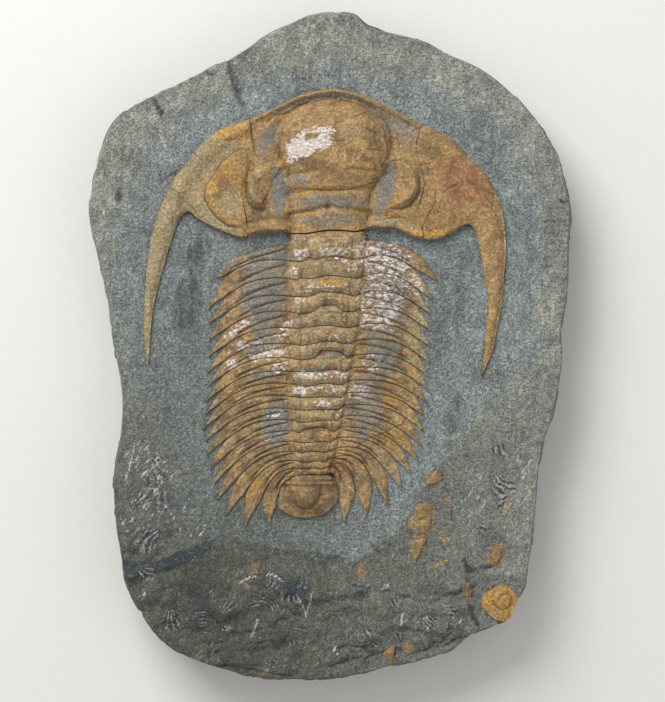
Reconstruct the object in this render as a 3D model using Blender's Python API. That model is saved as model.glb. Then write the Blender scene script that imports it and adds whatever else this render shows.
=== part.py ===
"""A large trilobite fossil in relief on its rock plate, with a small round shell and loose shell fragments.

The plate lies flat on its underside, at z = 0. +X is to the right, +Y runs from the animal's tail towards
its head along the plate, and +Z points out of the fossil face. Outlines are held as points of the reference
view, x to the right and y down, and spot() turns them into metres, so that the whole fossil scales with
PLATE_LENGTH.
"""

import math
import random

import bmesh
import bpy
from mathutils import Vector, geometry, noise

# Driving sizes, in metres.
PLATE_LENGTH = 0.242  # the plate's outline from top to bottom
BED_HEIGHT = 0.022  # underside to the prepared bed that carries the fossil
GAP = 0.0003  # clear space between pieces that touch in the rock
SUTURE_GAP = 0.0005  # clear space along the head's curved sutures

# Heights of the fossil above its base on the bed, in metres.
GLABELLA_RISE = 0.0088  # the swollen middle of the head
CHEEK_RISE = 0.0030
RIM_RISE = 0.0012  # the head's raised border, above the cheek
EYE_RISE = 0.0022
POSTERIOR_RISE = 0.0010
GENAL_RISE = 0.0030
EDGE_RISE = 0.0011  # any shell's thin edge
RING_RISE_FRONT = 0.0060
RING_RISE_REAR = 0.0034
AXIAL_FURROW_RISE = 0.0014
PLEURA_RISE = 0.0027
TIP_RISE = 0.0009
PYGIDIUM_RISE = 0.0024
BOSS_RISE = 0.0026
SMALL_SHELL_RISE = 0.0020
FRAGMENT_RISE = 0.0009

# The plate's rock, in metres.
RIM_ROLL = 0.0014  # how far the fossil face's edge stands inside the outline
RIM_DROP = 0.0012
FOOT_INSET = 0.0042  # how far the flat underside stands inside the outline
FOOT_RISE = 0.0022
WALL_ROUGHNESS = 0.0030  # how far the broken sides move in and out
CHIPS_PER_METRE = 75.0
CHIP_BIAS = 0.35  # the sides are broken inwards more than outwards
FACE_SWELL = 0.0012  # gentle waves of the face outside the bed
UPPER_RISE = 0.0009  # the unprepared rock above and beside the bed
LOWER_RISE = 0.0030  # the rougher rock below the bed

# The broken sides, ring by ring down from the outline: inset, height and the seed of the chips.
WALL_TOP = 0.84 * BED_HEIGHT
WALL_RINGS = (
    (0.0004, 0.52 * BED_HEIGHT, 5.2),
    (0.0012, FOOT_RISE, 9.6),
    (FOOT_INSET, 0.0, 9.6),
)

# Where the face's parts meet, in view points.
BED_FADE = 30.0  # how far the bed takes to reach the height of the rock round it
LOWER_START = 470.0  # y at which the rock starts to rise towards its broken lower part
LOWER_FADE = 90.0

# The waves and lumps of the face: lengths across and down in view points, and the seed of the noise.
SWELLS = (60.0, 45.0, 3.1)
LUMPS = (19.0, 13.0, 8.4)

# Counts that set how fine the faceted solids are.
OUTLINE_STEPS = 84
ROUGH_SPACING = 13.0  # in view points, between the corners of the rough lower rock
FACE_SPACING = 25.0
EDGE_SPACING = 17.0  # where the bed meets the rock round it
BED_SPACING = 44.0
JITTER = 0.22  # how far the corners leave their even rows, as a share of the spacing
CLOSEST = 0.72  # how near corners may come, as a share of the spacing
CRANIDIUM_COLUMNS = 24
CRANIDIUM_ROWS = 20
CHEEK_STEPS = 30
CHEEK_COLUMNS = 6
PLEURA_COLUMNS = 7
RING_COLUMNS = 5
SEGMENT_ROWS = 4
SEGMENTS = 18
ROUND_STEPS = 18
ROUND_RINGS = 5

WELD = 1e-6
SEED = 7

# The plate's outline, clockwise from its top.
PLATE_OUTLINE = (
    (328, 9.6), (354, 12), (371, 24), (415, 35), (446, 49.5), (483, 66), (514, 91), (536, 116),
    (552, 139), (562, 157.5), (570.5, 196), (573, 214), (570.5, 250), (571, 278), (565.5, 319), (563, 334),
    (564.6, 361), (555.5, 412), (542.7, 457), (537, 515), (528, 577.5), (522, 596), (513, 605.5), (511, 617),
    (505.7, 624), (473, 636), (450, 654), (404, 665.5), (363, 675.6), (318.6, 682.6), (265, 680),
    (237, 675.6), (191, 661), (163, 644), (135.5, 607), (122, 572), (111.4, 487), (118, 441),
    (120, 396), (111, 341), (104, 293),
    (90.3, 233), (87.8, 198), (99, 149), (120, 112), (173, 83), (205, 67), (227, 57), (271, 30),
    (294, 18), (310.5, 11),
)

# The bed is level inside this outline, where the fossil and the larger fragments lie.
BED_OUTLINE = (
    (335, 70), (430, 95), (490, 135), (528, 190), (532, 270), (520, 345), (500, 400), (470, 440),
    (462, 500), (448, 548), (430, 580), (395, 578), (350, 562), (300, 556), (235, 560), (190, 520),
    (180, 440), (160, 390), (124, 372), (122, 290), (130, 200), (165, 145), (240, 95),
)

# Level places for what lies outside the bed: centre, radius and height above the bed in metres.
PADS = (
    ((498, 601.5), 22, 0.0016),
    ((496, 555.5), 15, 0.0022),
    ((388.5, 653), 13, 0.0022),
)
PAD_SLOPE = 14.0  # how far a pad takes to meet the rock round it, in view points
PAD_CORNERS = 9

# Broken ledges of the lower rock: the line's ends, and how high the rock stands on its lower side, in metres.
LEDGES = (
    ((118, 574), (168, 560), 0.0016),
    ((196, 650), (268, 636), 0.0018),
    ((300, 604), (372, 590), -0.0016),
    ((372, 590), (462, 604), 0.0020),
    ((392, 624), (470, 640), -0.0016),
    ((150, 520), (118, 505), 0.0012),
    ((470, 560), (528, 540), 0.0012),
)
LEDGE_REACH = 34.0  # how far a ledge's slope runs back, in view points
LEDGE_FACE = 3.0  # half the width of its steep face

# The head shield's edges: y of the front and rear margins at x, and x of the facial sutures at y.
FRONT_MARGIN = (
    (246, 121), (257, 116.6), (271, 110), (285, 103), (300.5, 96), (324, 90.5), (339, 90), (355, 94),
    (376, 102), (400.6, 114), (422, 125.5),
)
REAR_MARGIN = (
    (242, 238), (262, 233), (285, 232.4), (292, 234), (308, 234), (324, 231.5), (339, 231), (355, 232),
    (367, 229.4), (395.5, 230), (406, 234), (413, 238), (424, 240),
)
LEFT_SUTURE = (
    (119, 250), (128, 251), (142, 253), (160, 253), (175, 248), (190, 242), (206, 244), (222, 247),
    (238, 247),
)
RIGHT_SUTURE = (
    (125, 422), (134, 419), (147, 416), (160, 417), (172, 421.5), (186, 423.5), (199, 420.5), (212, 418),
    (229, 422), (240, 423),
)

# The glabella's half widths follow its own edges: x at y.
GLABELLA_LEFT = (
    (99, 332), (104, 306), (114, 289), (125, 279), (143, 274), (159, 281), (172, 288), (190, 290), (236, 291),
)
GLABELLA_RIGHT = (
    (99, 336), (104, 356), (114, 376), (125, 387), (143, 391), (159, 388), (172, 384), (190, 371), (236, 366),
)
GLABELLA_PROFILE = (
    (99, 0.30), (106, 0.62), (118, 0.88), (135, 1.0), (158, 0.96), (178, 0.80), (200, 0.68), (222, 0.66),
    (236, 0.55),
)
GLABELLA_FURROWS = (
    ((290, 176), (318, 172), 0.0009),
    ((350, 171), (386, 174), 0.0009),
    ((290, 194), (372, 189), 0.0011),
    ((291, 215), (328, 208), 0.0012),
    ((328, 208), (370, 213), 0.0012),
)
LEFT_EYE = ((281, 164), (266, 174), (256, 184), (251, 194), (255, 203), (263, 208))
RIGHT_EYE = ((397, 160), (408, 167), (415, 178), (416, 189), (410, 199), (400, 205))

# Widths in view points, and the glabella's cross section: how flat its top is and how steep its flanks are.
EYE_WIDTH = 6.0
BORDER_WIDTH = 22.0  # of the free cheeks' raised border
FURROW_WIDTH = 2.6
RIM_WIDTH = 5.0
REAR_BORDER_WIDTH = 4.0
EDGE_WIDTH = 3.0  # over which a shell thins out to its edge
GLABELLA_FLATNESS = 2.4
GLABELLA_FLANKS = 0.55

# Ribs of the free cheeks, from the front corner to the genal spine's tip: outer end, inner end.
LEFT_CHEEK_RIBS = (
    ((250, 119.5), (250, 119.5)), ((240, 123), (251, 128)), ((229, 126.5), (253, 142)),
    ((219, 130.5), (253, 160)), ((210, 137), (248, 175)), ((203, 143), (242, 190)),
    ((197, 149.5), (244, 206)), ((191, 157), (246.5, 222)), ((186, 164.6), (245.5, 238)),
    ((181, 170.5), (226, 233)), ((176, 177), (210, 226)), ((171.5, 185.5), (199, 219.5)),
    ((166, 197), (189, 212)), ((160, 210), (180, 218)), ((152, 238), (173, 236)),
    ((148, 262), (165, 262)), ((145.5, 291), (157, 291)), ((144.3, 318), (152, 318)),
    ((145, 345), (150, 345)), ((148.4, 364), (148.4, 364)),
)
RIGHT_CHEEK_RIBS = (
    ((422, 125.5), (422, 125.5)), ((429, 129), (419, 134)), ((436, 132), (416, 147)),
    ((443, 135.5), (417, 160)), ((450, 139.5), (421.5, 172)), ((456, 145), (423.5, 186)),
    ((462, 151), (420.5, 199)), ((468, 158), (418, 212)), ((474, 164), (422, 229)),
    ((479, 168.5), (423, 240)), ((484, 174), (438, 239.5)), ((489, 182), (450, 233)),
    ((493.5, 190), (460, 227.5)), ((498, 199), (469, 224.5)), ((502, 214), (475, 232)),
    ((504.5, 234), (480, 250)), ((505.3, 256), (483, 270)), ((503, 280), (486.5, 291)),
    ((501, 305), (488.4, 309)), ((497, 326), (486.5, 327)), ((491.5, 351), (484.3, 351)),
    ((481, 376), (481, 376)),
)
SUTURE_RIBS = 8  # the first ribs end on the facial suture

# The thorax: where each seam between two segments leaves the axis, where it bends, and each spine's tip.
AXIS_LEFT = (
    (290.5, 236), (290.5, 261), (290.5, 279), (290.5, 296.5), (290.5, 312), (290.5, 328), (290.5, 344),
    (290.5, 358), (291.5, 371.5), (292, 384), (292.3, 396.5), (292.5, 409), (292, 420), (292.5, 430.5),
    (294.5, 441), (296, 451), (297, 460.5), (298, 468), (299, 475),
)
AXIS_RIGHT = (
    (365, 234.5), (364, 258), (362, 277), (360.5, 293.5), (359.5, 309.5), (357.5, 325.5), (355.5, 341),
    (352.5, 355.5), (350.4, 368), (348, 380.5), (345.8, 393), (343.5, 405), (342, 416), (339, 427),
    (337.5, 437.5), (335.5, 448), (333.5, 457.5), (329, 466), (325.5, 474),
)
BEND_LEFT = (
    (239, 256), (240, 267), (240, 287), (240, 303.5), (240, 320), (239, 337), (238, 352), (237, 366),
    (237, 380), (237, 392), (237, 404), (238, 417), (239, 430), (240, 444), (243, 456), (248, 467),
    (256, 477), (268, 485), (279, 492),
)
BEND_RIGHT = (
    (412, 250.5), (403, 261.5), (404, 279.5), (404, 297), (404, 314), (404, 330), (404, 345.5), (404, 360),
    (403, 373.5), (402, 387), (400, 400), (397, 412.5), (394, 425), (390, 438), (384, 448.5), (376, 458.5),
    (366, 467.5), (352, 475), (337, 484),
)
TIPS_LEFT = (
    (216, 277), (208, 310), (209.5, 324), (208.5, 341), (208.5, 357), (207.5, 373), (208, 387), (206, 402),
    (205.5, 415), (202.5, 430), (206, 442), (207, 455), (210, 469), (214.3, 484), (217.5, 500), (225, 516),
    (245, 527.5), (270, 523),
)
TIPS_RIGHT = (
    (437, 280), (433, 303), (431.5, 315), (432, 332), (431, 348), (431, 365), (431, 379), (429, 391),
    (426.5, 403), (424, 417), (424, 432), (422.5, 447), (418.5, 462), (411, 475), (402.5, 490), (389, 505.5),
    (366, 520), (344, 522),
)
FIRST_ROOTS = ((290.5, 244), (365, 241))  # where the first pleurae's front edges leave the axis
BEND_SHARE = 0.56  # how far along a seam its bend comes
TIP_BIAS = 0.62  # a spine's tip lies nearer the seam behind it
SPINE_START = 0.68  # how far along a pleura its free spine starts
SEAM_OVERRUN = 0.35  # how far past the first and last tips the outer seams run, in steps between tips
RING_ARCH = 3.2  # how far a ring's edges bow towards the head, in view points
RING_DIP = 2.0  # how far they dip by the axial furrows
PLEURAL_FURROW_DEPTH = 0.0008

PYGIDIUM_CENTRE = (309, 497)
PYGIDIUM_OUTLINE = (
    (299.5, 477), (293, 479.6), (287.5, 484), (284, 490), (282, 497), (279.5, 503), (282, 509), (288, 513),
    (296, 516), (306, 517), (319, 515.5), (328, 510.5), (334, 504), (336, 497), (335, 489), (332, 481.5),
    (326, 476.8), (311, 476.2),
)
BOSS_CENTRE = (306, 497)
BOSS_RADIUS = 15.0

SMALL_SHELL_CENTRE = (498, 601.5)
SMALL_SHELL_OUTLINE = (
    (499, 584.5), (508, 586.5), (514.5, 593), (516, 600), (513, 607), (510.5, 615), (504, 620),
    (495.5, 618.5), (487, 612), (481, 605), (481.5, 597), (488, 590.5),
)
SMALL_SHELL_BOSS = (503.5, 599)
SMALL_BOSS_RADIUS = 9.0
SMALL_BOSS_RISE = 0.0006
SMALL_BOSS_FURROW = 0.0004

# Loose shell fragments: outline, and the level of the rock under them above the bed, in metres.
FRAGMENTS = (
    (((437, 468), (431, 475), (424, 485.6), (432, 485), (440, 482)), 0.0),
    (((406, 519), (414, 515), (414, 506), (426, 500.5), (431, 504), (431.7, 519), (430.5, 529), (419, 535),
      (410, 530)), 0.0),
    (((411, 539), (419, 538), (427, 536.5), (422.5, 548), (414.4, 565), (411, 553)), 0.0),
    (((490, 548), (496, 545.5), (502, 545), (500, 556), (496, 566), (490, 565)), 0.0022),
    (((381, 653), (388, 647), (395, 644), (394, 654), (392, 662)), 0.0022),
)

FRAGMENT_WALL = 0.55  # a fragment's upright edge, as a share of its thickness

OCHRE = (0.42, 0.20, 0.055)
TAN = (0.36, 0.235, 0.10)
ROCK = (0.155, 0.165, 0.155)
ROUGHNESS_SHELL = 0.72
ROUGHNESS_ROCK = 0.93


def catmull_rom(before, start, end, after, share):
    """The point at share of the way from start to end on a smooth curve through four points."""
    square = share * share
    cube = square * share
    return 0.5 * (
        2 * start
        + (end - before) * share
        + (2 * before - 5 * start + 4 * end - after) * square
        + (3 * start - before - 3 * end + after) * cube
    )


def along_loop(points, share):
    """The point at share of the way round a smooth closed curve through the points."""
    place = share * len(points)
    index = int(place)
    corners = [Vector(points[(index + step) % len(points)]) for step in (-1, 0, 1, 2)]
    return catmull_rom(*corners, place - index)


def even_loop(points, count):
    """Points spaced evenly round the smooth closed curve through the given ones."""
    fine = [along_loop(points, step / (len(points) * 8)) for step in range(len(points) * 8)]
    lengths = [0.0]
    for index, point in enumerate(fine):
        lengths.append(lengths[-1] + (fine[(index + 1) % len(fine)] - point).length)
    chosen = []
    index = 0
    for step in range(count):
        target = lengths[-1] * step / count
        while lengths[index + 1] < target:
            index += 1
        share = (target - lengths[index]) / (lengths[index + 1] - lengths[index])
        chosen.append(fine[index].lerp(fine[(index + 1) % len(fine)], share))
    return chosen


def smooth_between(table, key):
    """The value at key on a smooth curve through a table of (key, value) pairs, flat past its ends."""
    if key <= table[0][0]:
        return table[0][1]
    for index in range(len(table) - 1):
        start, end = table[index], table[index + 1]
        if key <= end[0]:
            before = table[max(index - 1, 0)]
            after = table[min(index + 2, len(table) - 1)]
            share = (key - start[0]) / (end[0] - start[0])
            return catmull_rom(before[1], start[1], end[1], after[1], share)
    return table[-1][1]


def smooth_step(value):
    """0 below 0, 1 above 1, and a smooth rise between."""
    value = min(max(value, 0.0), 1.0)
    return value * value * (3 - 2 * value)


def blend(start, end, share):
    return start + (end - start) * share


OUTLINE = even_loop(PLATE_OUTLINE, OUTLINE_STEPS)
VIEW_LEFT = min(point.x for point in OUTLINE)
VIEW_RIGHT = max(point.x for point in OUTLINE)
VIEW_TOP = min(point.y for point in OUTLINE)
VIEW_BOTTOM = max(point.y for point in OUTLINE)
VIEW_CENTRE = Vector(((VIEW_LEFT + VIEW_RIGHT) / 2, (VIEW_TOP + VIEW_BOTTOM) / 2))
METRES_PER_POINT = PLATE_LENGTH / (VIEW_BOTTOM - VIEW_TOP)
BASE = BED_HEIGHT + GAP
HALF_GAP = 0.65 * GAP / METRES_PER_POINT  # each segment's share of a seam's gap, with a little to spare


def spot(point, height):
    """The place in metres of a view point at a height."""
    return Vector((
        (point[0] - VIEW_CENTRE.x) * METRES_PER_POINT,
        (VIEW_CENTRE.y - point[1]) * METRES_PER_POINT,
        height,
    ))


def line_distance(point, start, end):
    """How far a view point lies from a line between two others, and its share of the way along."""
    start = Vector(start)
    run = Vector(end) - start
    share = min(max((Vector(point) - start).dot(run) / run.length_squared, 0.0), 1.0)
    return (Vector(point) - start - run * share).length, share


def chain_distance(point, chain):
    """How far a view point lies from a chain of points."""
    return min(line_distance(point, start, end)[0] for start, end in zip(chain, chain[1:]))


def loop_distance(point, loop):
    """How far a view point lies inside a closed loop, less than zero outside it."""
    distance = math.inf
    inside = False
    for index, start in enumerate(loop):
        end = loop[index - 1]
        distance = min(distance, line_distance(point, start, end)[0])
        if (start[1] > point[1]) != (end[1] > point[1]):
            crossing = start[0] + (point[1] - start[1]) * (end[0] - start[0]) / (end[1] - start[1])
            if point[0] < crossing:
                inside = not inside
    return distance if inside else -distance


def bump(distance, width):
    """A rounded ridge: 1 on its line, falling away over its width."""
    return math.exp(-(distance / width) ** 2)


# The rock plate


def ledge_height(point, start, end, height):
    """A ledge steps up or down across its line and slopes back to the level beyond it."""
    run = Vector(end) - Vector(start)
    offset = Vector(point) - Vector(start)
    share = offset.dot(run) / run.length_squared
    below = run.cross(offset) / run.length * math.copysign(1, run.x)
    ends = smooth_step(min(share, 1 - share) / 0.3 + 0.5)
    step = smooth_step(below / (2 * LEDGE_FACE) + 0.5)
    return height * ends * step * math.exp(-max(below, 0) / LEDGE_REACH)


def waves(point, across, down, seed):
    """Smooth noise from -1 to 1 at a view point, its waves across by down view points."""
    return noise.noise(Vector((point[0] / across, point[1] / down, seed)))


def face_height(point):
    """The height of the plate's fossil face: level on the bed and the pads, uneven elsewhere."""
    away = smooth_step(-loop_distance(point, BED_OUTLINE) / BED_FADE)
    lower = smooth_step((point[1] - LOWER_START) / LOWER_FADE)
    height = blend(UPPER_RISE, LOWER_RISE, lower)
    height += FACE_SWELL * (waves(point, *SWELLS) + waves(point, *LUMPS) * lower)
    height += sum(ledge_height(point, *ledge) for ledge in LEDGES)
    height *= away
    for centre, radius, level in PADS:
        share = smooth_step(((Vector(point) - Vector(centre)).length - radius) / PAD_SLOPE)
        height = blend(level, height, share)
    return BED_HEIGHT + height


def rough_ring(inset, height, seed):
    """A ring round the plate at an inset from its outline, broken in and out as split rock is."""
    ring = []
    for point in OUTLINE:
        place = spot(point, 0.0)
        chip = noise.noise(Vector((place.x * CHIPS_PER_METRE, place.y * CHIPS_PER_METRE, seed)))
        inward = max(inset + (chip + CHIP_BIAS) * WALL_ROUGHNESS, 0.0)
        place *= 1 - inward / place.length
        place.z = height
        ring.append(place)
    return ring


def face_points():
    """Corners for the face inside its rim: close on rough rock and ledges, sparse on the level bed."""
    draw = random.Random(SEED)
    points = []

    def add(point, clearance, spacing):
        if loop_distance(point, OUTLINE) < clearance:
            return
        if any((other - point).length < spacing for other in points):
            return
        points.append(point)

    for centre, radius, _ in PADS:
        for corner in range(PAD_CORNERS):
            turn = 2 * math.pi * corner / PAD_CORNERS
            arm = Vector((math.cos(turn), math.sin(turn))) * radius
            add(Vector(centre) + arm, ROUGH_SPACING / 2, LEDGE_FACE)
        add(Vector(centre), ROUGH_SPACING / 2, LEDGE_FACE)
    for start, end, _ in LEDGES:
        run = Vector(end) - Vector(start)
        across = Vector((-run.y, run.x)).normalized() * LEDGE_FACE
        count = max(int(run.length / ROUGH_SPACING), 1)
        for step in range(count + 1):
            middle = Vector(start) + run * (step / count)
            for side in (-1, 1):
                add(middle + across * side, ROUGH_SPACING / 2, LEDGE_FACE)
    columns = int((VIEW_RIGHT - VIEW_LEFT) / ROUGH_SPACING)
    rows = int((VIEW_BOTTOM - VIEW_TOP) / ROUGH_SPACING)
    for row in range(rows + 1):
        for column in range(columns + 1):
            shift = 0.5 * (row % 2)
            x = VIEW_LEFT + (column + shift + draw.uniform(-JITTER, JITTER)) * ROUGH_SPACING
            y = VIEW_TOP + (row + draw.uniform(-JITTER, JITTER)) * ROUGH_SPACING
            inside = loop_distance((x, y), BED_OUTLINE)
            spacing = FACE_SPACING if y < LOWER_START else ROUGH_SPACING
            if inside > ROUGH_SPACING / 2:
                spacing = BED_SPACING
            elif inside > -BED_FADE:
                spacing = min(spacing, EDGE_SPACING)
            add(Vector((x, y)), ROUGH_SPACING, spacing * CLOSEST)
    return points


def build_plate():
    """The rock plate: an uneven face, rough broken sides and a flat underside."""
    inset = RIM_ROLL / METRES_PER_POINT
    centre = VIEW_CENTRE
    rim = [centre + (point - centre) * (1 - inset / (point - centre).length) for point in OUTLINE]
    flat = rim + face_points()
    placed, _, triangles, *_ = geometry.delaunay_2d_cdt(flat, [], [list(range(len(rim)))], 1, WELD)
    bm = bmesh.new()
    corners = []
    for index, point in enumerate(placed):
        drop = RIM_DROP if index < len(rim) else 0.0
        corners.append(bm.verts.new(spot(point, face_height(point) - drop)))
    for triangle in triangles:
        bm.faces.new([corners[index] for index in triangle])
    rings = [[spot(point, WALL_TOP) for point in OUTLINE]]
    rings += [rough_ring(*ring) for ring in WALL_RINGS]
    upper = corners[:len(rim)]
    for ring in rings:
        lower = [bm.verts.new(place) for place in ring]
        for index in range(len(lower)):
            bm.faces.new((upper[index - 1], upper[index], lower[index], lower[index - 1]))
        upper = lower
    bm.faces.new(upper)
    bmesh.ops.triangulate(bm, faces=[face for face in bm.faces if len(face.verts) > 3])
    face_outwards(bm)
    return finish("matrix_slab", bm, "blue grey mudstone", ROCK, ROUGHNESS_ROCK)


# The fossil's pieces


def patch(columns, rows, surface):
    """A sheet of columns by rows cells whose corners surface(u, v) places. Corners that meet are merged."""
    bm = bmesh.new()
    bmesh.ops.create_grid(bm, x_segments=columns, y_segments=rows, size=0.5)
    for vert in bm.verts:
        vert.co = surface(vert.co.x + 0.5, vert.co.y + 0.5)
    bmesh.ops.remove_doubles(bm, verts=bm.verts, dist=WELD)
    return bm


def face_outwards(bm):
    """Every face of a closed shape points out of it."""
    bmesh.ops.recalc_face_normals(bm, faces=bm.faces)
    if bm.calc_volume(signed=True) < 0:
        bmesh.ops.reverse_faces(bm, faces=bm.faces)


def close_below(bm, floor):
    """Walls go down from the sheet's rim to a level floor, which one flat face closes."""
    rim = [edge for edge in bm.edges if edge.is_boundary]
    walls = bmesh.ops.extrude_edge_only(bm, edges=rim)["geom"]
    for item in walls:
        if isinstance(item, bmesh.types.BMVert):
            item.co.z = floor
    lower = [item for item in walls if isinstance(item, bmesh.types.BMEdge) and item.is_boundary]
    bmesh.ops.edgeloop_fill(bm, edges=lower)
    face_outwards(bm)


def finish(name, bm, material_name, color, roughness):
    """The bmesh as a named object, shaded smooth, with its material."""
    mesh = bpy.data.meshes.new(name)
    bm.to_mesh(mesh)
    bm.free()
    mesh.shade_smooth()
    mesh.set_sharp_from_angle(angle=math.radians(40))
    material = bpy.data.materials.get(material_name)
    if material is None:
        material = bpy.data.materials.new(material_name)
        material.use_nodes = True
        shader = material.node_tree.nodes["Principled BSDF"]
        shader.inputs["Base Color"].default_value = (*color, 1.0)
        shader.inputs["Roughness"].default_value = roughness
        shader.inputs["Metallic"].default_value = 0.0
    mesh.materials.append(material)
    piece = bpy.data.objects.new(name, mesh)
    bpy.context.scene.collection.objects.link(piece)
    return piece


def glabella_share(point):
    """How far across the glabella a view point lies, from -1 at its left edge to 1 at its right."""
    left = smooth_between(GLABELLA_LEFT, point[1])
    right = smooth_between(GLABELLA_RIGHT, point[1])
    return (2 * point[0] - left - right) / (right - left)


def cranidium_height(point):
    """The height of the head's middle piece above the bed."""
    across = glabella_share(point)
    swollen = GLABELLA_RISE * smooth_between(GLABELLA_PROFILE, point[1])
    front = smooth_between(FRONT_MARGIN, point[0])
    rear = smooth_between(REAR_MARGIN, point[0])
    cheek = CHEEK_RISE * (0.72 + 0.28 * smooth_step((point[1] - 120) / 50))
    if abs(across) < 1:
        dome = (1 - abs(across) ** GLABELLA_FLATNESS) ** GLABELLA_FLANKS
        height = blend(AXIAL_FURROW_RISE, swollen, dome)
    else:
        height = blend(AXIAL_FURROW_RISE, cheek, smooth_step((abs(across) - 1) * 5))
    for start, end, depth in GLABELLA_FURROWS:
        height -= depth * bump(line_distance(point, start, end)[0], FURROW_WIDTH)
    eye = min(chain_distance(point, LEFT_EYE), chain_distance(point, RIGHT_EYE))
    height += EYE_RISE * bump(eye, EYE_WIDTH)
    height += RIM_RISE * bump(point[1] - front - 4, RIM_WIDTH)
    if abs(across) > 1:
        from_rear = rear - point[1]
        height += POSTERIOR_RISE * bump(from_rear - REAR_BORDER_WIDTH, REAR_BORDER_WIDTH)
        height -= POSTERIOR_RISE * bump(from_rear - 3 * REAR_BORDER_WIDTH, REAR_BORDER_WIDTH)
    edge = min(point[1] - front, rear - point[1]) / EDGE_WIDTH
    return blend(EDGE_RISE, max(height, EDGE_RISE), smooth_step(0.25 + edge))


def build_cranidium():
    """The head's middle piece, from one facial suture to the other: glabella, eye lobes and fixed cheeks."""
    gap = SUTURE_GAP / METRES_PER_POINT

    def surface(u, v):
        left = smooth_between(LEFT_SUTURE, blend(240, 119, v)) + gap
        right = smooth_between(RIGHT_SUTURE, blend(240, 125.5, v)) - gap
        x = blend(left, right, u)
        y = blend(smooth_between(REAR_MARGIN, x), smooth_between(FRONT_MARGIN, x), v)
        return spot((x, y), BASE + cranidium_height((x, y)))

    bm = patch(CRANIDIUM_COLUMNS, CRANIDIUM_ROWS, surface)
    close_below(bm, BASE)
    return finish("cranidium", bm, "ochre fossil shell", OCHRE, ROUGHNESS_SHELL)


def rib_ends(ribs, share):
    """The outer and inner ends of the rib at share of the way along a row of ribs."""
    place = share * (len(ribs) - 1)
    index = min(int(place), len(ribs) - 2)
    ends = []
    for end in (0, 1):
        corners = [Vector(ribs[min(max(index + step, 0), len(ribs) - 1)][end]) for step in (-1, 0, 1, 2)]
        ends.append(catmull_rom(*corners, place - index))
    return ends


def build_cheek(name, ribs):
    """A free cheek with its raised border, drawn out into the genal spine."""
    suture = SUTURE_RIBS / (len(ribs) - 1)
    spine = (SUTURE_RIBS + 5) / (len(ribs) - 1)

    def surface(u, v):
        outer, inner = rib_ends(ribs, u)
        point = outer.lerp(inner, v)
        width = (outer - inner).length
        into = smooth_step((u - spine + 0.2) / 0.4)
        border = v * width
        field = CHEEK_RISE * (0.86 + 0.14 * math.sin(math.pi * v))
        field += RIM_RISE * (bump(border - BORDER_WIDTH / 2, 7.0) - 0.6 * bump(border - BORDER_WIDTH, 4.0))
        ridge = GENAL_RISE * math.sin(math.pi * v) ** 0.6 * smooth_step(width / 16 + 0.15)
        free_side = v if u < suture else min(v, 1 - v)
        edge = smooth_step(0.3 + free_side * width / EDGE_WIDTH)
        height = blend(EDGE_RISE, blend(field, ridge, into), edge)
        return spot(point, BASE + max(height, TIP_RISE))

    bm = patch(CHEEK_STEPS, CHEEK_COLUMNS, surface)
    close_below(bm, BASE)
    return finish(name, bm, "tan fossil shell", TAN, ROUGHNESS_SHELL)


def seam_ends(tips):
    """Where the seams end: between neighbouring tips, and a part of a step past the first and last."""
    points = [Vector(tip) for tip in tips]
    first = points[0] + (points[0] - points[1]) * SEAM_OVERRUN
    last = points[-1] + (points[-1] - points[-2]) * SEAM_OVERRUN
    inner = [start.lerp(end, 1 - TIP_BIAS) for start, end in zip(points, points[1:])]
    return [first, *inner, last]


def seam_point(start, middle, end, share):
    """The point at share of the way along a seam: a curve from the axis, through its bend, to its end."""
    rest = 1 - BEND_SHARE
    control = (middle - start * rest ** 2 - end * BEND_SHARE ** 2) / (2 * BEND_SHARE * rest)
    return start * (1 - share) ** 2 + control * (2 * share * (1 - share)) + end * share ** 2


def pleura_point(side, index, along, across):
    """The view point of a pleura: along from the axis to the tip, across from its front seam to its rear."""
    roots, bends, tips, ends = side
    front = seam_point(Vector(roots[index]), Vector(bends[index]), ends[index], along)
    rear = seam_point(Vector(roots[index + 1]), Vector(bends[index + 1]), ends[index + 1], along)
    near = min(HALF_GAP / max((rear - front).length, HALF_GAP * 3), 0.3)
    free = max(along - SPINE_START, 0) / (1 - SPINE_START)
    start = blend(near, TIP_BIAS, free)
    stop = blend(1 - near, TIP_BIAS, free)
    point = front.lerp(rear, blend(start, stop, across))
    return point.lerp(Vector(tips[index]), along ** 8)


def pleura_height(index, along, across):
    """A pleura is a low vault with a slanting furrow, and thins out towards its tip."""
    rise = blend(PLEURA_RISE, TIP_RISE, smooth_step((along - 0.45) / 0.55))
    rise *= 1.0 - 0.25 * index / (SEGMENTS - 1)
    vault = 0.55 + 0.45 * math.sin(math.pi * across) ** 0.7
    line = blend(0.25, 0.75, along / 0.65)
    groove = bump(across - line, 0.20) * (1 - smooth_step((along - 0.5) / 0.15))
    root = smooth_step(along / 0.08)
    height = rise * vault - PLEURAL_FURROW_DEPTH * groove * root
    return blend(AXIAL_FURROW_RISE, height, root)


def ring_point(index, along, across):
    """The view point of an axial ring: along from the left furrow to the right, across from front to rear."""
    rows = []
    for row in (index, index + 1):
        start = Vector(AXIS_LEFT[row])
        end = Vector(AXIS_RIGHT[row])
        middle = start.lerp(end, along)
        flat = blend(1.0, 0.4, row / SEGMENTS)
        middle.y -= RING_ARCH * flat * math.sin(math.pi * along)
        middle.y += RING_DIP * flat * math.sin(2 * math.pi * along) ** 2
        rows.append(middle)
    front, rear = rows
    near = HALF_GAP / (rear - front).length
    return front.lerp(rear, blend(near, 1 - near, across))


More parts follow.
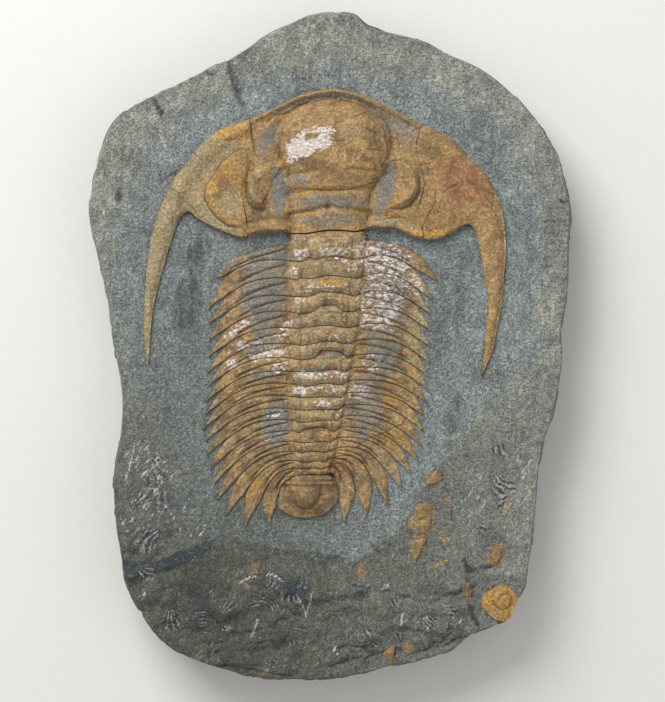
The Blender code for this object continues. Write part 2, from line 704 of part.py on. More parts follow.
def ring_height(index, along, across):
    """An axial ring is a high arch from side to side, tallest towards its rear edge."""
    rise = blend(RING_RISE_FRONT, RING_RISE_REAR, index / (SEGMENTS - 1))
    arch = math.sin(math.pi * along) ** 0.55
    slope = blend(0.66, 1.0, smooth_step(across / 0.55)) - 0.16 * smooth_step((across - 0.75) / 0.25)
    return blend(AXIAL_FURROW_RISE, rise * slope, arch)


def build_segment(index, sides):
    """One thoracic segment: its axial ring between two pleurae that end in backward spines."""
    columns = 2 * PLEURA_COLUMNS + RING_COLUMNS
    left, right = sides

    def surface(u, v):
        column = round(u * columns)
        across = 1 - v
        if column < PLEURA_COLUMNS:
            along = 1 - column / PLEURA_COLUMNS
            point = pleura_point(left, index, along, across)
            height = pleura_height(index, along, across)
        elif column > PLEURA_COLUMNS + RING_COLUMNS:
            along = (column - PLEURA_COLUMNS - RING_COLUMNS) / PLEURA_COLUMNS
            point = pleura_point(right, index, along, across)
            height = pleura_height(index, along, across)
        else:
            along = (column - PLEURA_COLUMNS) / RING_COLUMNS
            point = ring_point(index, along, across)
            height = ring_height(index, along, across)
        return spot(point, BASE + height)

    bm = patch(columns, SEGMENT_ROWS, surface)
    close_below(bm, BASE)
    name = f"thoracic_segment_{index + 1:02d}"
    return finish(name, bm, "ochre fossil shell", OCHRE, ROUGHNESS_SHELL)


def round_patch(centre, outline, height_at):
    """A closed round sheet: rings from the centre out to a smooth outline."""
    centre = Vector(centre)

    def surface(u, v):
        rim = along_loop(outline, u % 1.0)
        point = centre.lerp(rim, v)
        return spot(point, height_at(point, v))

    return patch(ROUND_STEPS, ROUND_RINGS, surface)


def build_pygidium():
    """The small tail plate with its rounded boss."""

    def height_at(point, out):
        boss = (point - Vector(BOSS_CENTRE)).length / BOSS_RADIUS
        plate = PYGIDIUM_RISE * (1 - 0.55 * smooth_step((out - 0.5) / 0.5))
        return BASE + plate + BOSS_RISE * math.sqrt(max(1 - boss ** 2, 0))

    bm = round_patch(PYGIDIUM_CENTRE, PYGIDIUM_OUTLINE, height_at)
    close_below(bm, BASE)
    return finish("pygidium", bm, "ochre fossil shell", OCHRE, ROUGHNESS_SHELL)


def build_small_shell():
    """The small round shell: a low cap with a boss off its middle."""
    floor = BASE + PADS[0][2]

    def height_at(point, out):
        boss = (point - Vector(SMALL_SHELL_BOSS)).length / SMALL_BOSS_RADIUS
        cap = EDGE_RISE + (SMALL_SHELL_RISE - EDGE_RISE) * math.cos(out * math.pi / 2)
        return floor + cap + SMALL_BOSS_RISE * bump(boss, 0.6) - SMALL_BOSS_FURROW * bump(boss - 1.0, 0.25)

    bm = round_patch(SMALL_SHELL_CENTRE, SMALL_SHELL_OUTLINE, height_at)
    close_below(bm, floor)
    return finish("small_shell", bm, "ochre fossil shell", OCHRE, ROUGHNESS_SHELL)


def build_fragment(number, outline, level):
    """A thin flat chip of shell with its upper edge rounded off."""
    bm = bmesh.new()
    floor = BASE + level
    face = bm.faces.new([bm.verts.new(spot(point, floor)) for point in outline])
    raised = bmesh.ops.extrude_face_region(bm, geom=[face])["geom"]
    top = [item for item in raised if isinstance(item, bmesh.types.BMFace)]
    bmesh.ops.translate(bm, verts=top[0].verts, vec=(0.0, 0.0, FRAGMENT_RISE * FRAGMENT_WALL))
    bmesh.ops.inset_region(bm, faces=top, thickness=FRAGMENT_RISE, depth=0.0)
    bmesh.ops.translate(bm, verts=top[0].verts, vec=(0.0, 0.0, FRAGMENT_RISE * (1 - FRAGMENT_WALL)))
    face_outwards(bm)
    return finish(f"shell_fragment_{number}", bm, "ochre fossil shell", OCHRE, ROUGHNESS_SHELL)


def main():
    for thing in list(bpy.data.objects):
        bpy.data.objects.remove(thing, do_unlink=True)
    build_plate()
    build_cranidium()
    build_cheek("left_free_cheek", LEFT_CHEEK_RIBS)
    build_cheek("right_free_cheek", RIGHT_CHEEK_RIBS)
    sides = (
        ((FIRST_ROOTS[0], *AXIS_LEFT[1:]), BEND_LEFT, TIPS_LEFT, seam_ends(TIPS_LEFT)),
        ((FIRST_ROOTS[1], *AXIS_RIGHT[1:]), BEND_RIGHT, TIPS_RIGHT, seam_ends(TIPS_RIGHT)),
    )
    for index in range(SEGMENTS):
        build_segment(index, sides)
    build_pygidium()
    build_small_shell()
    for number, (outline, level) in enumerate(FRAGMENTS, start=1):
        build_fragment(number, outline, level)


main()
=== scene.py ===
"""The looks of a large trilobite fossil in relief on its mudstone plate, with a small round shell and chips.

Outlines are held as points of the reference view, x to the right and y down. place() turns them into metres
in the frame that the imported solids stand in. Each piece starts as an even grid whose corners carry shares
from 0 to 1, and its build function moves them to where the real surface lies. It also stores how strongly
the surface is stained there, as masks that the materials read.
"""

import math
from types import SimpleNamespace

import bmesh
import bpy
import numpy as np
from bpy.props import FloatProperty, FloatVectorProperty, PointerProperty
from bpy.types import Operator, Panel, PropertyGroup
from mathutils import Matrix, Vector, noise


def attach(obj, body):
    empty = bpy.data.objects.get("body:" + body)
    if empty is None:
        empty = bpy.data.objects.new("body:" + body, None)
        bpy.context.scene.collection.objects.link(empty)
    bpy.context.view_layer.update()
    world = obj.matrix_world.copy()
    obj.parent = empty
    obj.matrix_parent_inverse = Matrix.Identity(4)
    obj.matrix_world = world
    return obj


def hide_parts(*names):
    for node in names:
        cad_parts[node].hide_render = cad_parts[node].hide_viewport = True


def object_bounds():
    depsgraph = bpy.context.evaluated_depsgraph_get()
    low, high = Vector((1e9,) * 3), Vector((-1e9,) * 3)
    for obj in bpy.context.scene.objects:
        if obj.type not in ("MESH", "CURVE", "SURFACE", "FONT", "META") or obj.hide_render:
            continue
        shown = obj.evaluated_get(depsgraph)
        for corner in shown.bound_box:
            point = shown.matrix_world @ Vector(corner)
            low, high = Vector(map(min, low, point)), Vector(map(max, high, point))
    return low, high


bl_info = {
    "name": "Trilobite Fossil Plate",
    "version": (1, 0, 0),
    "blender": (4, 5, 0),
    "location": "3D View > Sidebar > Fossil",
    "description": "Models a long-spined trilobite in relief on its mudstone plate",
    "category": "Add Mesh",
}

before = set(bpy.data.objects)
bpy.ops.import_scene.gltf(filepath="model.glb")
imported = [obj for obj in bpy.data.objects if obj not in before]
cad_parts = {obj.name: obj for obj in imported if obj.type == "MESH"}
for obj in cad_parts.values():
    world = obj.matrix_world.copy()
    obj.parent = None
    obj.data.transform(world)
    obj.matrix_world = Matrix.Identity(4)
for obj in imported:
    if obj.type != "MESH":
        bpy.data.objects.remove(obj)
CAD_LOW, CAD_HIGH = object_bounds()

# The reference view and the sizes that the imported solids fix.
VIEW_SIZE = (665, 702)
VIEW_LEVEL = 0.021  # the height that is in scale in the view
BED_HEIGHT = 0.022  # underside to the prepared bed that carries the fossil
GAP = 0.0003  # clear space between pieces that touch in the rock
SUTURE_GAP = 0.0001  # width of the crack along the facial sutures
SEAM_GAP = 0.0002  # width of the cracks between the segments
BASE = BED_HEIGHT + GAP
SKIRT = 0.0006  # how far each shell's edge reaches down into the rock
WELD = 1e-6
NEARLY_ONE = 0.9999  # a share above this is the last one

# The plate's outline, clockwise from its top.
PLATE_OUTLINE = (
    (328, 9.6), (354, 12), (371, 24), (415, 35), (446, 49.5), (483, 66), (514, 91), (536, 116), (552, 139),
    (562, 157.5), (570.5, 196), (573, 214), (570.5, 250), (571, 278), (565.5, 319), (563, 334),
    (564.6, 361), (555.5, 412), (542.7, 457), (537, 515), (528, 577.5), (522, 596), (513, 605.5),
    (511, 617), (505.7, 624), (473, 636), (450, 654), (404, 665.5), (363, 675.6), (318.6, 682.6),
    (265, 680), (237, 675.6), (191, 661), (163, 644), (135.5, 607), (122, 572), (111.4, 487), (118, 441),
    (120, 396), (111, 341), (104, 293), (90.3, 233), (87.8, 198), (99, 149), (120, 112), (173, 83),
    (205, 67), (227, 57), (271, 30), (294, 18), (310.5, 11),
)
OUTLINE_STEPS = 84
FINE_STEPS = 2400
PLATE_CORNERS = ((120, 112), (536, 116), (505.7, 624), (163, 644))  # where its four long sides meet
PLATE_COLUMNS = 232
PLATE_ROWS = 330

# The broken sides. The profile says how far they stand inside the outline, at shares of the way down.
WALL_RINGS = 12
WALL_PROFILE = ((0.0, 0.0014), (0.09, 0.0005), (0.18, 0.0002), (0.5, 0.0009), (0.9, 0.0014), (1.0, 0.0042))
WALL_BREAKS = 75  # breaks to a metre along the sides
WALL_LAYERS = 2.6  # times as many from top to bottom, as the rock is bedded
WALL_STAINS = {"upper": 0.5, "lower": 0.8, "dark": 0.15, "pale": 0.3, "ochre": 0.0, "plume": 0.0, "vein": 0.0}
RIM_ROLL = 0.0014
RIM_DROP = 0.0012

# The bed is level inside this outline, where the fossil and the larger fragments lie.
BED_OUTLINE = (
    (335, 70), (430, 95), (490, 135), (528, 190), (532, 270), (520, 345), (500, 400), (470, 440),
    (462, 500), (448, 548), (430, 580), (395, 578), (350, 562), (300, 556), (235, 560), (190, 520),
    (180, 440), (160, 390), (124, 372), (122, 290), (130, 200), (165, 145), (240, 95),
)
BED_FADE = 30.0  # view points over which the rock beyond it takes up its full roughness
LOWER_START = 470  # the rougher rock begins at this y
LOWER_FADE = 90  # and is full this much further down
UPPER_RISE = 0.0009
LOWER_RISE = 0.0030
FACE_SWELL = 0.0012
SWELLS = (60, 45, 3.1)  # lengths across and down in view points, and the seed of the noise
LUMPS = (19, 13, 8.4)

# Level pads under the loose shells: centre, radius in view points and height above the bed in metres.
PADS = (((498, 601.5), 22, 0.0016), ((496, 555.5), 15, 0.0022), ((388.5, 653), 13, 0.0022))
PAD_SLOPE = 14.0

# Ledges step across a line: its two ends and the step's height in metres.
LEDGES = (
    ((118, 574), (168, 560), 0.0016),
    ((196, 650), (268, 636), 0.0018),
    ((300, 604), (372, 590), -0.0016),
    ((372, 590), (462, 604), 0.0020),
    ((392, 624), (470, 640), -0.0016),
    ((150, 520), (118, 505), 0.0012),
    ((470, 560), (528, 540), 0.0012),
)
LEDGE_REACH = 34.0
LEDGE_FACE = 3.0
CRAG_STRETCH = 1.5  # times flatter than wide
TERRACE_STEPS = 4.0
TERRACE_SHARE = 0.6
ROCK_CRACK_WIDTH = 1.6
ROCK_CRACK_DEPTH = 0.0007
PLUME_DEPTH = 0.0002

# The head shield's edges: y of the front and rear margins at x, and x of the facial sutures at y.
FRONT_MARGIN = (
    (246, 121), (257, 116.6), (271, 110), (285, 103), (300.5, 96), (324, 90.5), (339, 90), (355, 94),
    (376, 102), (400.6, 114), (422, 125.5),
)
REAR_MARGIN = (
    (242, 238), (262, 233), (285, 232.4), (292, 234), (308, 234), (324, 231.5), (339, 231), (355, 232),
    (367, 229.4), (395.5, 230), (406, 234), (413, 238), (424, 240),
)
LEFT_SUTURE = (
    (119, 250), (128, 251), (142, 253), (160, 253), (175, 248), (190, 242), (206, 244), (222, 247),
    (238, 247),
)
RIGHT_SUTURE = (
    (125, 422), (134, 419), (147, 416), (160, 417), (172, 421.5), (186, 423.5), (199, 420.5), (212, 418),
    (229, 422), (240, 423),
)
LEFT_SUTURE_ENDS = (240, 119)  # y at the rear and at the front
RIGHT_SUTURE_ENDS = (240, 125.5)

# The glabella's edges are held as x at y, and its profile as the share of its full height at y.
GLABELLA_LEFT = (
    (99, 332), (104, 306), (114, 289), (125, 279), (143, 274), (159, 281), (172, 288), (190, 290),
    (236, 291),
)
GLABELLA_RIGHT = (
    (99, 336), (104, 356), (114, 376), (125, 387), (143, 391), (159, 388), (172, 384), (190, 371),
    (236, 366),
)
GLABELLA_PROFILE = (
    (99, 0.30), (106, 0.62), (118, 0.88), (135, 1.0), (158, 0.96), (178, 0.80), (200, 0.68), (222, 0.66),
    (236, 0.55),
)
CROWN_REAR = 168  # y at which its wrinkled crown ends
GLABELLA_FLATNESS = 2.6
GLABELLA_FLANKS = 0.66

# Furrows across the glabella: their two ends and their depth in metres.
GLABELLA_FURROWS = (
    ((290, 176), (318, 172), 0.0009),
    ((350, 171), (386, 174), 0.0009),
    ((290, 194), (372, 189), 0.0011),
    ((291, 215), (328, 208), 0.0012),
    ((328, 208), (370, 213), 0.0012),
)
LEFT_EYE = ((281, 166), (270, 167.5), (259.5, 172), (253.5, 181), (252, 192), (254.5, 200), (262, 204.5))
RIGHT_EYE = ((388, 163), (399, 161), (408, 167), (413.5, 177), (414.5, 188), (410, 198), (399, 204))
EYE_WIDTHS = (10.0, 3.0)  # of the eye lobe's inner and outer slopes
EYE_HOLLOWS = ((279, 191, 24, 10, 86, 1.0), (384, 191, 24, 10, 108, 1.0))  # soft ovals
EYE_HOLLOW_DEPTH = 0.0006
BORDER_WIDTH = 22.0
REAR_BORDER_WIDTH = 4.0
FURROW_WIDTH = 2.6
FURROW_LEVEL = 0.72  # the axial furrow's height as a share of the cheek's
RIM_WIDTH = 3.2
RIM_INSET = 2.6

# Ribs of the free cheeks, from the front corner to the genal spine's tip: outer end, inner end.
LEFT_CHEEK_RIBS = (
    ((250, 119.5), (250, 119.5)), ((240, 123), (251, 128)), ((229, 126.5), (253, 142)),
    ((219, 130.5), (253, 160)), ((210, 137), (248, 175)), ((203, 143), (242, 190)),
    ((197, 149.5), (244, 206)), ((191, 157), (246.5, 222)), ((186, 164.6), (245.5, 238)),
    ((181, 170.5), (226, 233)), ((176, 177), (210, 226)), ((171.5, 185.5), (199, 219.5)),
    ((166, 197), (189, 212)), ((160, 210), (180, 218)), ((152, 238), (173, 236)), ((148, 262), (165, 262)),
    ((145.5, 291), (157, 291)), ((144.3, 318), (152, 318)), ((145, 345), (150, 345)),
    ((148.4, 364), (148.4, 364)),
)
RIGHT_CHEEK_RIBS = (
    ((422, 125.5), (422, 125.5)), ((429, 129), (419, 134)), ((436, 132), (416, 147)),
    ((443, 135.5), (417, 160)), ((450, 139.5), (421.5, 172)), ((456, 145), (423.5, 186)),
    ((462, 151), (420.5, 199)), ((468, 158), (418, 212)), ((474, 164), (422, 229)),
    ((479, 168.5), (423, 240)), ((484, 174), (438, 239.5)), ((489, 182), (450, 233)),
    ((493.5, 190), (460, 227.5)), ((498, 199), (469, 224.5)), ((502, 214), (475, 232)),
    ((504.5, 234), (480, 250)), ((505.3, 256), (483, 270)), ((503, 280), (486.5, 291)),
    ((501, 305), (488.4, 309)), ((497, 326), (486.5, 327)), ((491.5, 351), (484.3, 351)),
    ((481, 376), (481, 376)),
)
SUTURE_RIBS = 8
SPINE_RIBS = 13  # where the cheek has narrowed to its spine

# The thorax: where each seam between two segments leaves the axis, where it bends, and each spine's tip.
AXIS_LEFT = (
    (290.5, 236), (290.5, 261), (290.5, 279), (290.5, 296.5), (290.5, 312), (290.5, 328), (290.5, 344),
    (290.5, 358), (291.5, 371.5), (292, 384), (292.3, 396.5), (292.5, 409), (292, 420), (292.5, 430.5),
    (294.5, 441), (296, 451), (297, 460.5), (298, 468), (299, 475),
)
AXIS_RIGHT = (
    (365, 234.5), (364, 258), (362, 277), (360.5, 293.5), (359.5, 309.5), (357.5, 325.5), (355.5, 341),
    (352.5, 355.5), (350.4, 368), (348, 380.5), (345.8, 393), (343.5, 405), (342, 416), (339, 427),
    (337.5, 437.5), (335.5, 448), (333.5, 457.5), (329, 466), (325.5, 474),
)
BEND_LEFT = (
    (239, 256), (240, 267), (240, 287), (240, 303.5), (240, 320), (239, 337), (238, 352), (237, 366),
    (237, 380), (237, 392), (237, 404), (238, 417), (239, 430), (240, 444), (243, 456), (248, 467),
    (256, 477), (268, 485), (279, 492),
)
BEND_RIGHT = (
    (412, 250.5), (403, 261.5), (404, 279.5), (404, 297), (404, 314), (404, 330), (404, 345.5), (404, 360),
    (403, 373.5), (402, 387), (400, 400), (397, 412.5), (394, 425), (390, 438), (384, 448.5), (376, 458.5),
    (366, 467.5), (352, 475), (337, 484),
)
TIPS_LEFT = (
    (216, 277), (208, 310), (209.5, 324), (208.5, 341), (208.5, 357), (207.5, 373), (208, 387), (206, 402),
    (205.5, 415), (202.5, 430), (206, 442), (207, 455), (210, 469), (214.3, 484), (217.5, 500), (225, 516),
    (245, 527.5), (270, 523),
)
TIPS_RIGHT = (
    (437, 280), (433, 303), (431.5, 315), (432, 332), (431, 348), (431, 365), (431, 379), (429, 391),
    (426.5, 403), (424, 417), (424, 432), (422.5, 447), (418.5, 462), (411, 475), (402.5, 490),
    (389, 505.5), (366, 520), (344, 522),
)
FIRST_ROOTS = ((290.5, 244), (365, 241))
SEGMENTS = 18
WORN_RINGS = 12  # the rings in front are scuffed
BEND_SHARE = 0.56
TIP_BIAS = 0.62
END_STEP = 0.35  # how far the outermost seams end past the outermost tips, as a share of the last step
SPINE_START = 0.74
SPINE_THINNING = 0.95  # below 1 the spines narrow faster at first
NODE_BULGE = 1.5  # how far each ring's ends bulge out, in view points

# A pleura's furrow: where across it starts, how far it slants, where along it would reach the rear edge, and
# its width as a share of the pleura's.
FURROW_FROM = 0.16
FURROW_SLANT = 0.72
FURROW_LENGTH = 0.65
FURROW_SHARE = 0.09

# How far each seam between two rings bows towards the head, in view points, at even steps from left to right.
RING_WAVES = (
    (1.4, 1.4, 1.2, 1.3, 2.3, 3.2, 3.6, 3.7, 3.5, 3.0, 2.4, 2.5, 3.0),
    (0, -1.5, -1.7, 2.0, 0, 1.0, 2.1, 2.2, 1.4, 0, -1.4, -1.2, 0),
    (0, -1.7, 0.6, -0.5, -0.3, 0.8, 1.5, 1.8, 1.0, 0.2, -0.6, -1.7, 0),
    (0, -1.0, -1.0, -1.0, 0.2, 3.0, 2.6, 2.0, 1.5, 0.5, -1.2, -2.8, 0),
    (0, -2.2, -2.9, -1.9, -0.3, 4.1, 5.1, 5.3, 4.4, -1.2, -2.0, -2.3, 0),
    (0, -0.8, -0.4, 0, 0.3, 0.8, 1.2, 0.9, 0, -1.0, -2.1, -1.9, 0),
    (0, -1.1, -2.0, -1.4, -1.0, 0, 1.0, 1.0, 0.5, -1.0, -2.2, -2.5, 0),
    (0, -1.6, -2.2, -2.1, -1.4, -0.3, 5.5, 5.7, 5.3, 4.6, 2.4, -1.9, 0),
    (0, -0.2, -0.9, -1.2, -1.2, -1.2, -0.8, -0.5, -0.3, -0.4, -1.4, -2.7, 0),
    (0, -1.3, -2.7, -3.2, -3.2, -2.3, -1.5, -1.3, -1.7, -2.7, -3.3, -3.7, 0),
    (0, -0.6, -1.7, -2.1, -2.2, -2.2, -2.2, -2.4, -2.6, -3.0, -3.5, -3.9, 0),
    (0, -0.9, -1.9, -2.1, -2.3, -2.4, -2.5, -2.8, -3.2, -3.5, -3.8, -3.9, 0),
    (0, -1.3, -2.7, -3.0, -3.2, -2.9, -2.2, -2.3, -2.6, -2.9, -3.3, -3.5, 0),
    (0, -1.6, -2.4, 0.1, 0.9, 1.0, 1.5, 1.2, 0.9, -0.4, -2.9, -3.5, 0),
    (0, -1.4, -2.0, -2.3, -2.5, -2.5, -2.1, -2.3, -2.8, -3.2, -3.5, -2.4, 0),
    (0, -1.2, -2.0, -0.8, -1.0, -1.2, -1.7, -2.1, -2.8, -3.0, -2.3, -2.0, 0),
    (0, -1.2, -2.3, -2.5, -2.5, -1.6, -1.8, -2.0, -2.5, -2.7, -2.0, -0.6, 0),
    (0, -0.6, -0.8, -0.8, -0.7, -0.7, -0.8, -1.0, -1.8, -2.6, -2.0, -1.0, 0),
    (0, 0, 0, 0.3, 0.6, 0.9, 1.0, 0.8, 0.3, 0, 0, 0, 0),
)

# The tail plate, the small shell and the loose fragments with the height of the rock under them in metres.
PYGIDIUM_CENTRE = (309, 497)
PYGIDIUM_OUTLINE = (
    (298.9, 475.2), (293.6, 476.8), (289.1, 479), (285.4, 481.8), (282.4, 485.2), (280.2, 489.6),
    (279, 496), (277.4, 502), (280, 508), (286, 512.5), (295, 516), (306, 517), (319, 515.5), (328, 510.5),
    (334, 504), (337.6, 497), (337.4, 490.5), (336, 484.5), (333.8, 479.5), (330.4, 476), (325.5, 474.8),
    (311, 474.3),
)
BOSS_CENTRE = (306, 497)
BOSS_RADIUS = 15.0
BOSS_STRETCH = 0.72  # the boss runs out forwards into the axis
BOSS_SHADE = ((294, 501), (298, 506), (305, 508.5), (312, 506), (317, 501), (320, 494), (320.5, 487))
TAIL_MARGIN = ((291, 479), (287, 488), (288, 497), (291, 505))
TAIL_FRONT = 488  # y to which its raised and furrowed front part reaches
TAIL_FURROW_START = 477
SMALL_SHELL_CENTRE = (498, 601.5)
SMALL_SHELL_OUTLINE = (
    (499, 584.5), (508, 586.5), (514.5, 593), (516, 600), (513, 607), (510.5, 615), (504, 620),
    (495.5, 618.5), (487, 612), (481, 605), (481.5, 597), (488, 590.5),
)
SMALL_SHELL_BOSS = (503.5, 599)
SMALL_BOSS_RADIUS = 9.0
FRAGMENTS = (
    (((437, 468), (431, 475), (424, 485.6), (432, 485), (440, 482)), 0.0),
    (
        (
            (406, 519), (414, 515), (414, 506), (426, 500.5), (431, 504), (431.7, 519), (430.5, 529),
            (419, 535), (410, 530),
        ),
        0.0,
    ),
    (((411, 539), (419, 538), (427, 536.5), (422.5, 548), (414.4, 565), (411, 553)), 0.0),
    (((490, 548), (496, 545.5), (502, 545), (500, 556), (496, 566), (490, 565)), 0.0022),
    (((381, 653), (388, 647), (395, 644), (394, 654), (392, 662)), 0.0022),
)

# How finely each piece is divided.
CRANIDIUM_CELLS = (196, 164)
CHEEK_CELLS = (280, 56)
PLEURA_COLUMNS = 92
RING_COLUMNS = 60
SEGMENT_ROWS = 14
PYGIDIUM_CELLS = (128, 40)
SMALL_SHELL_CELLS = (112, 36)
FRAGMENT_CELLS = (72, 12)

# Small heights and depths in metres.
WRINKLE_HEIGHT = 0.00018
GLABELLA_SWELL = 0.00030
FIELD_STEP = 0.0006
FIELD_GROOVE = 0.0004
CHEEK_SWELL = 0.00022
NODE_HEIGHT = 0.0005
NODE_LINE_DEPTH = 0.0003
RING_FURROW_DEPTH = 0.0004
SEGMENT_SWELL = 0.00018
TAIL_FRONT_RISE = 0.0014
TAIL_FURROW_HEIGHT = 0.0003
TAIL_SWELL = 0.0003
TAIL_MARGIN_DEPTH = 0.0001
BOSS_GROOVE_DEPTH = 0.0004
SMALL_BOSS_HEIGHT = 0.0006
SMALL_BOSS_GROOVE_DEPTH = 0.0005
GROWTH_LINE_HEIGHT = 0.00005
FRAGMENT_SWELL = 0.00012

# Noise: the size of its largest lumps in view points, its octaves and its seed.
PITS = (3.2, 2, 17.3)
STAIN_DRIFT = (9.0, 3, 41.0)
ROCK_GRAIN = (6.0, 3, 1.7)
ROCK_SCARS = (11.0, 2, 31.0)
CRAGS = (34.0, 5, 5.5)
CRAG_EDGES = (9.0, 3, 8.1)
PLUME_WOBBLE = (12.0, 3, 23.0)
HEAD_WOBBLE = (16.0, 3, 12.0)
CHEEK_SWELLS = (18.0, 3, 6.1)
SEGMENT_SWELLS = (7.0, 3, 9.9)
TAIL_SWELLS = (8.0, 3, 3.3)
GROWTH_WOBBLE = (12.0, 2, 2.2)
CHIPPED_EDGE = (5.0, 3, 6.6)
FRAGMENT_SWELLS = (6.0, 3, 7.7)

# Details of the head: lines in view points.
GLABELLA_FRONT = (
    (268, 122), (274.5, 116.5), (289, 113), (300, 106.4), (312, 101), (326, 98.4), (345, 98.4), (359, 102),
    (376, 111.5), (386, 123.5), (391, 133),
)
LEFT_EYE_SHADOW = ((247.5, 184), (246.5, 193), (248.5, 202), (253, 208.5), (263, 211.5))
RIGHT_EYE_SHADOW = ((418.5, 179), (419.5, 190), (416, 198), (409.5, 206), (400, 209.5), (392, 209))
FRONT_GROOVE = (
    (272, 113.5), (285, 109.5), (300, 102.5), (318, 97), (338, 95.6), (352, 98), (368, 105), (381, 113.5),
    (390, 125),
)
WRINKLES = (
    ((372, 127), (381, 134), (387, 143), (388.5, 152), (386, 160), (381, 168)),
    ((366, 131), (376, 137), (383, 146), (384, 155), (380, 163)),
    ((392, 130), (397.5, 136), (399, 146), (398, 154)),
    ((385, 158), (391, 163), (400, 161), (403, 158.5)),
    ((286, 123), (281, 134), (278, 146), (280, 158)),
    ((270, 114.5), (281, 116), (291, 113)),
    ((376, 174), (377.5, 182), (373, 190)),
    ((375, 220), (386, 219.4), (400, 217.5)),
    ((298, 106), (318, 104), (336, 107)),
    ((292, 190.5), (300, 190), (330, 191.5), (355, 190)),
)
GLABELLA_NICKS = (((350, 190), (374, 183)), ((291, 178), (300, 176)))
LEFT_FIELD = (
    (241.3, 150), (235, 152.3), (222.5, 162.5), (213, 176.6), (206.9, 186), (204.5, 198.4), (210, 209.4),
    (217.8, 218.8), (228.8, 226.6), (241.3, 228), (249, 220), (246, 200), (245, 185), (250, 168),
    (249, 155),
)
LEFT_FIELD_RIM = ((212, 180), (208, 190), (208, 200), (213, 209), (221, 217), (231, 222), (244, 223.5))
RIGHT_FIELD_RIM = ((403, 225), (415, 231), (428, 235.5), (440, 235), (455, 228), (463, 222))
FRONT_RIDGE = (
    (272, 109), (285, 101.5), (300, 97), (320, 92.5), (338, 91.6), (356, 95), (372, 100.5), (398, 112.5),
)
HEAD_CRACKS = (
    ((250.6, 120), (251, 133), (254, 144), (256, 156)),
    ((331, 106), (341.5, 101)),
    ((351, 120), (369, 112.6)),
    ((390, 163), (400, 160)),
    ((435, 192), (435, 202), (431, 211), (425, 221), (421, 230)),
    ((443, 193), (452, 187), (463, 183)),
    ((481, 190), (494, 196)),
    ((485, 198), (492, 206)),
    ((194, 153), (201, 160)),
    ((171, 189), (181, 194)),
    ((189, 204), (196, 211), (199, 218)),
    ((236, 140), (224, 142)),
    ((416, 167), (430, 164)),
    ((366, 151), (381, 152)),
)
HEAD_CRACK_WIDTH = 0.7
HEAD_CRACK_DEPTH = 0.0003
THORAX_CRACKS = (
    ((388, 355), (384, 360), (380, 363)),
    ((408, 418), (398, 425), (385, 432), (378, 434), (366, 440), (355, 448)),
    ((331, 462), (340, 473), (346, 487)),
    ((333, 460), (346, 469), (358, 481)),
    ((332, 466), (336, 478), (339, 491)),
    ((335, 457), (350, 462), (364, 470)),
    ((330, 468), (332, 480), (330, 492)),
    ((338, 452), (352, 455), (366, 463)),
    ((296, 466), (286, 473), (276, 486)),
    ((297, 471), (288, 481), (282, 494)),
    ((262, 490), (257, 503), (252, 516)),
    ((240, 262), (232, 268), (230, 272)),
)
SCUFFED_EDGES = (
    ((425, 126.5), (436, 131), (450, 138.5)),
    ((494, 190), (501, 206), (505, 228), (505.5, 250)),
    ((334, 259), (346, 262)),
)
SCUFFED_CROWN = (
    (287, 165), (285, 152.6), (287, 145), (300.5, 135), (313, 129.5), (332, 128.4), (335, 135), (331, 137),
    (333, 145), (324, 152.6), (313, 154), (307, 159), (292, 163),
)

# Soft oval patches: x and y of the centre, half length, half width, turn in degrees, strength.
CROWN_HOLE = ((312, 138, 7, 3.2, -8, 1.0),)
GREY_PATCHES = (
    (279, 192, 25, 9.5, 86, 0.95), (384.5, 191, 25, 9, 108, 0.95), (268, 138, 19, 8, 127, 0.8),
    (266, 157, 11, 9, 0, 0.45), (399, 128, 28, 12, 48, 0.68), (330, 203, 42, 9, -2, 0.7),
    (330, 221, 38, 8, 0, 0.6), (300, 180, 12, 9, 0, 0.6), (352, 134, 18, 7, -8, 0.4),
    (300, 134, 20, 10, -30, 0.35), (272, 215, 16, 7, 0, 0.5), (384, 225, 16, 4.5, 0, 0.6),
    (264, 262, 30, 16, -12, 0.8), (264, 298, 44, 24, 92, 0.85), (232, 262, 20, 8, -35, 0.6),
    (276, 424, 23, 15, 96, 1.0), (260, 346, 22, 8, -12, 0.7), (262, 375, 20, 6, -12, 0.72),
    (389, 285, 58, 24, 88, 0.72), (382, 350, 30, 18, 76, 0.72), (366, 409, 38, 20, 100, 0.7),
    (318, 371, 20, 3, 0, 0.8), (322, 384, 24, 5, 0, 0.4), (335, 354, 12, 3, 4, 0.7),
    (432, 310, 34, 4, 80, 0.45), (192, 163, 20, 9, -50, 0.5), (230, 302, 34, 10, 104, 0.35),
)
SCUFF_PATCHES = (
    (301, 254, 8, 5, 0, 0.79), (334, 251, 20, 5, -4, 0.56), (294, 272, 5, 6, 60, 0.7),
    (353, 268, 8, 7, 0, 0.47), (320, 289, 26, 4, -6, 0.47), (300, 300, 8, 3, 0, 0.47),
    (330, 338, 16, 3, 0, 0.42), (304, 376, 10, 5, 0, 0.65), (332, 375, 22, 4, 0, 0.52),
    (301, 391, 8, 5, 0, 0.88), (326, 389, 24, 4, 0, 0.47), (322, 403, 16, 4, 0, 0.56),
    (383, 260, 32, 18, 20, 0.62), (408, 281, 22, 9, 32, 0.5), (380, 300, 24, 30, 0, 0.56),
    (372, 320, 14, 12, 0, 0.47), (354, 252, 7, 11, 90, 0.42), (357, 391, 12, 9, 10, 0.47),
    (372, 362, 10, 10, 10, 0.38), (284, 330, 14, 6, -60, 0.52), (268, 354, 22, 6, -14, 0.7),
    (241, 326, 8, 4, -25, 0.79), (232, 334, 9, 4, -35, 0.7), (249, 344, 20, 5, -18, 0.56),
    (232, 364, 8, 5, -30, 0.79), (281, 366, 8, 6, -30, 0.56), (277, 414, 13, 1.4, -18, 0.65),
    (275, 436, 12, 1.4, -20, 0.56),
)
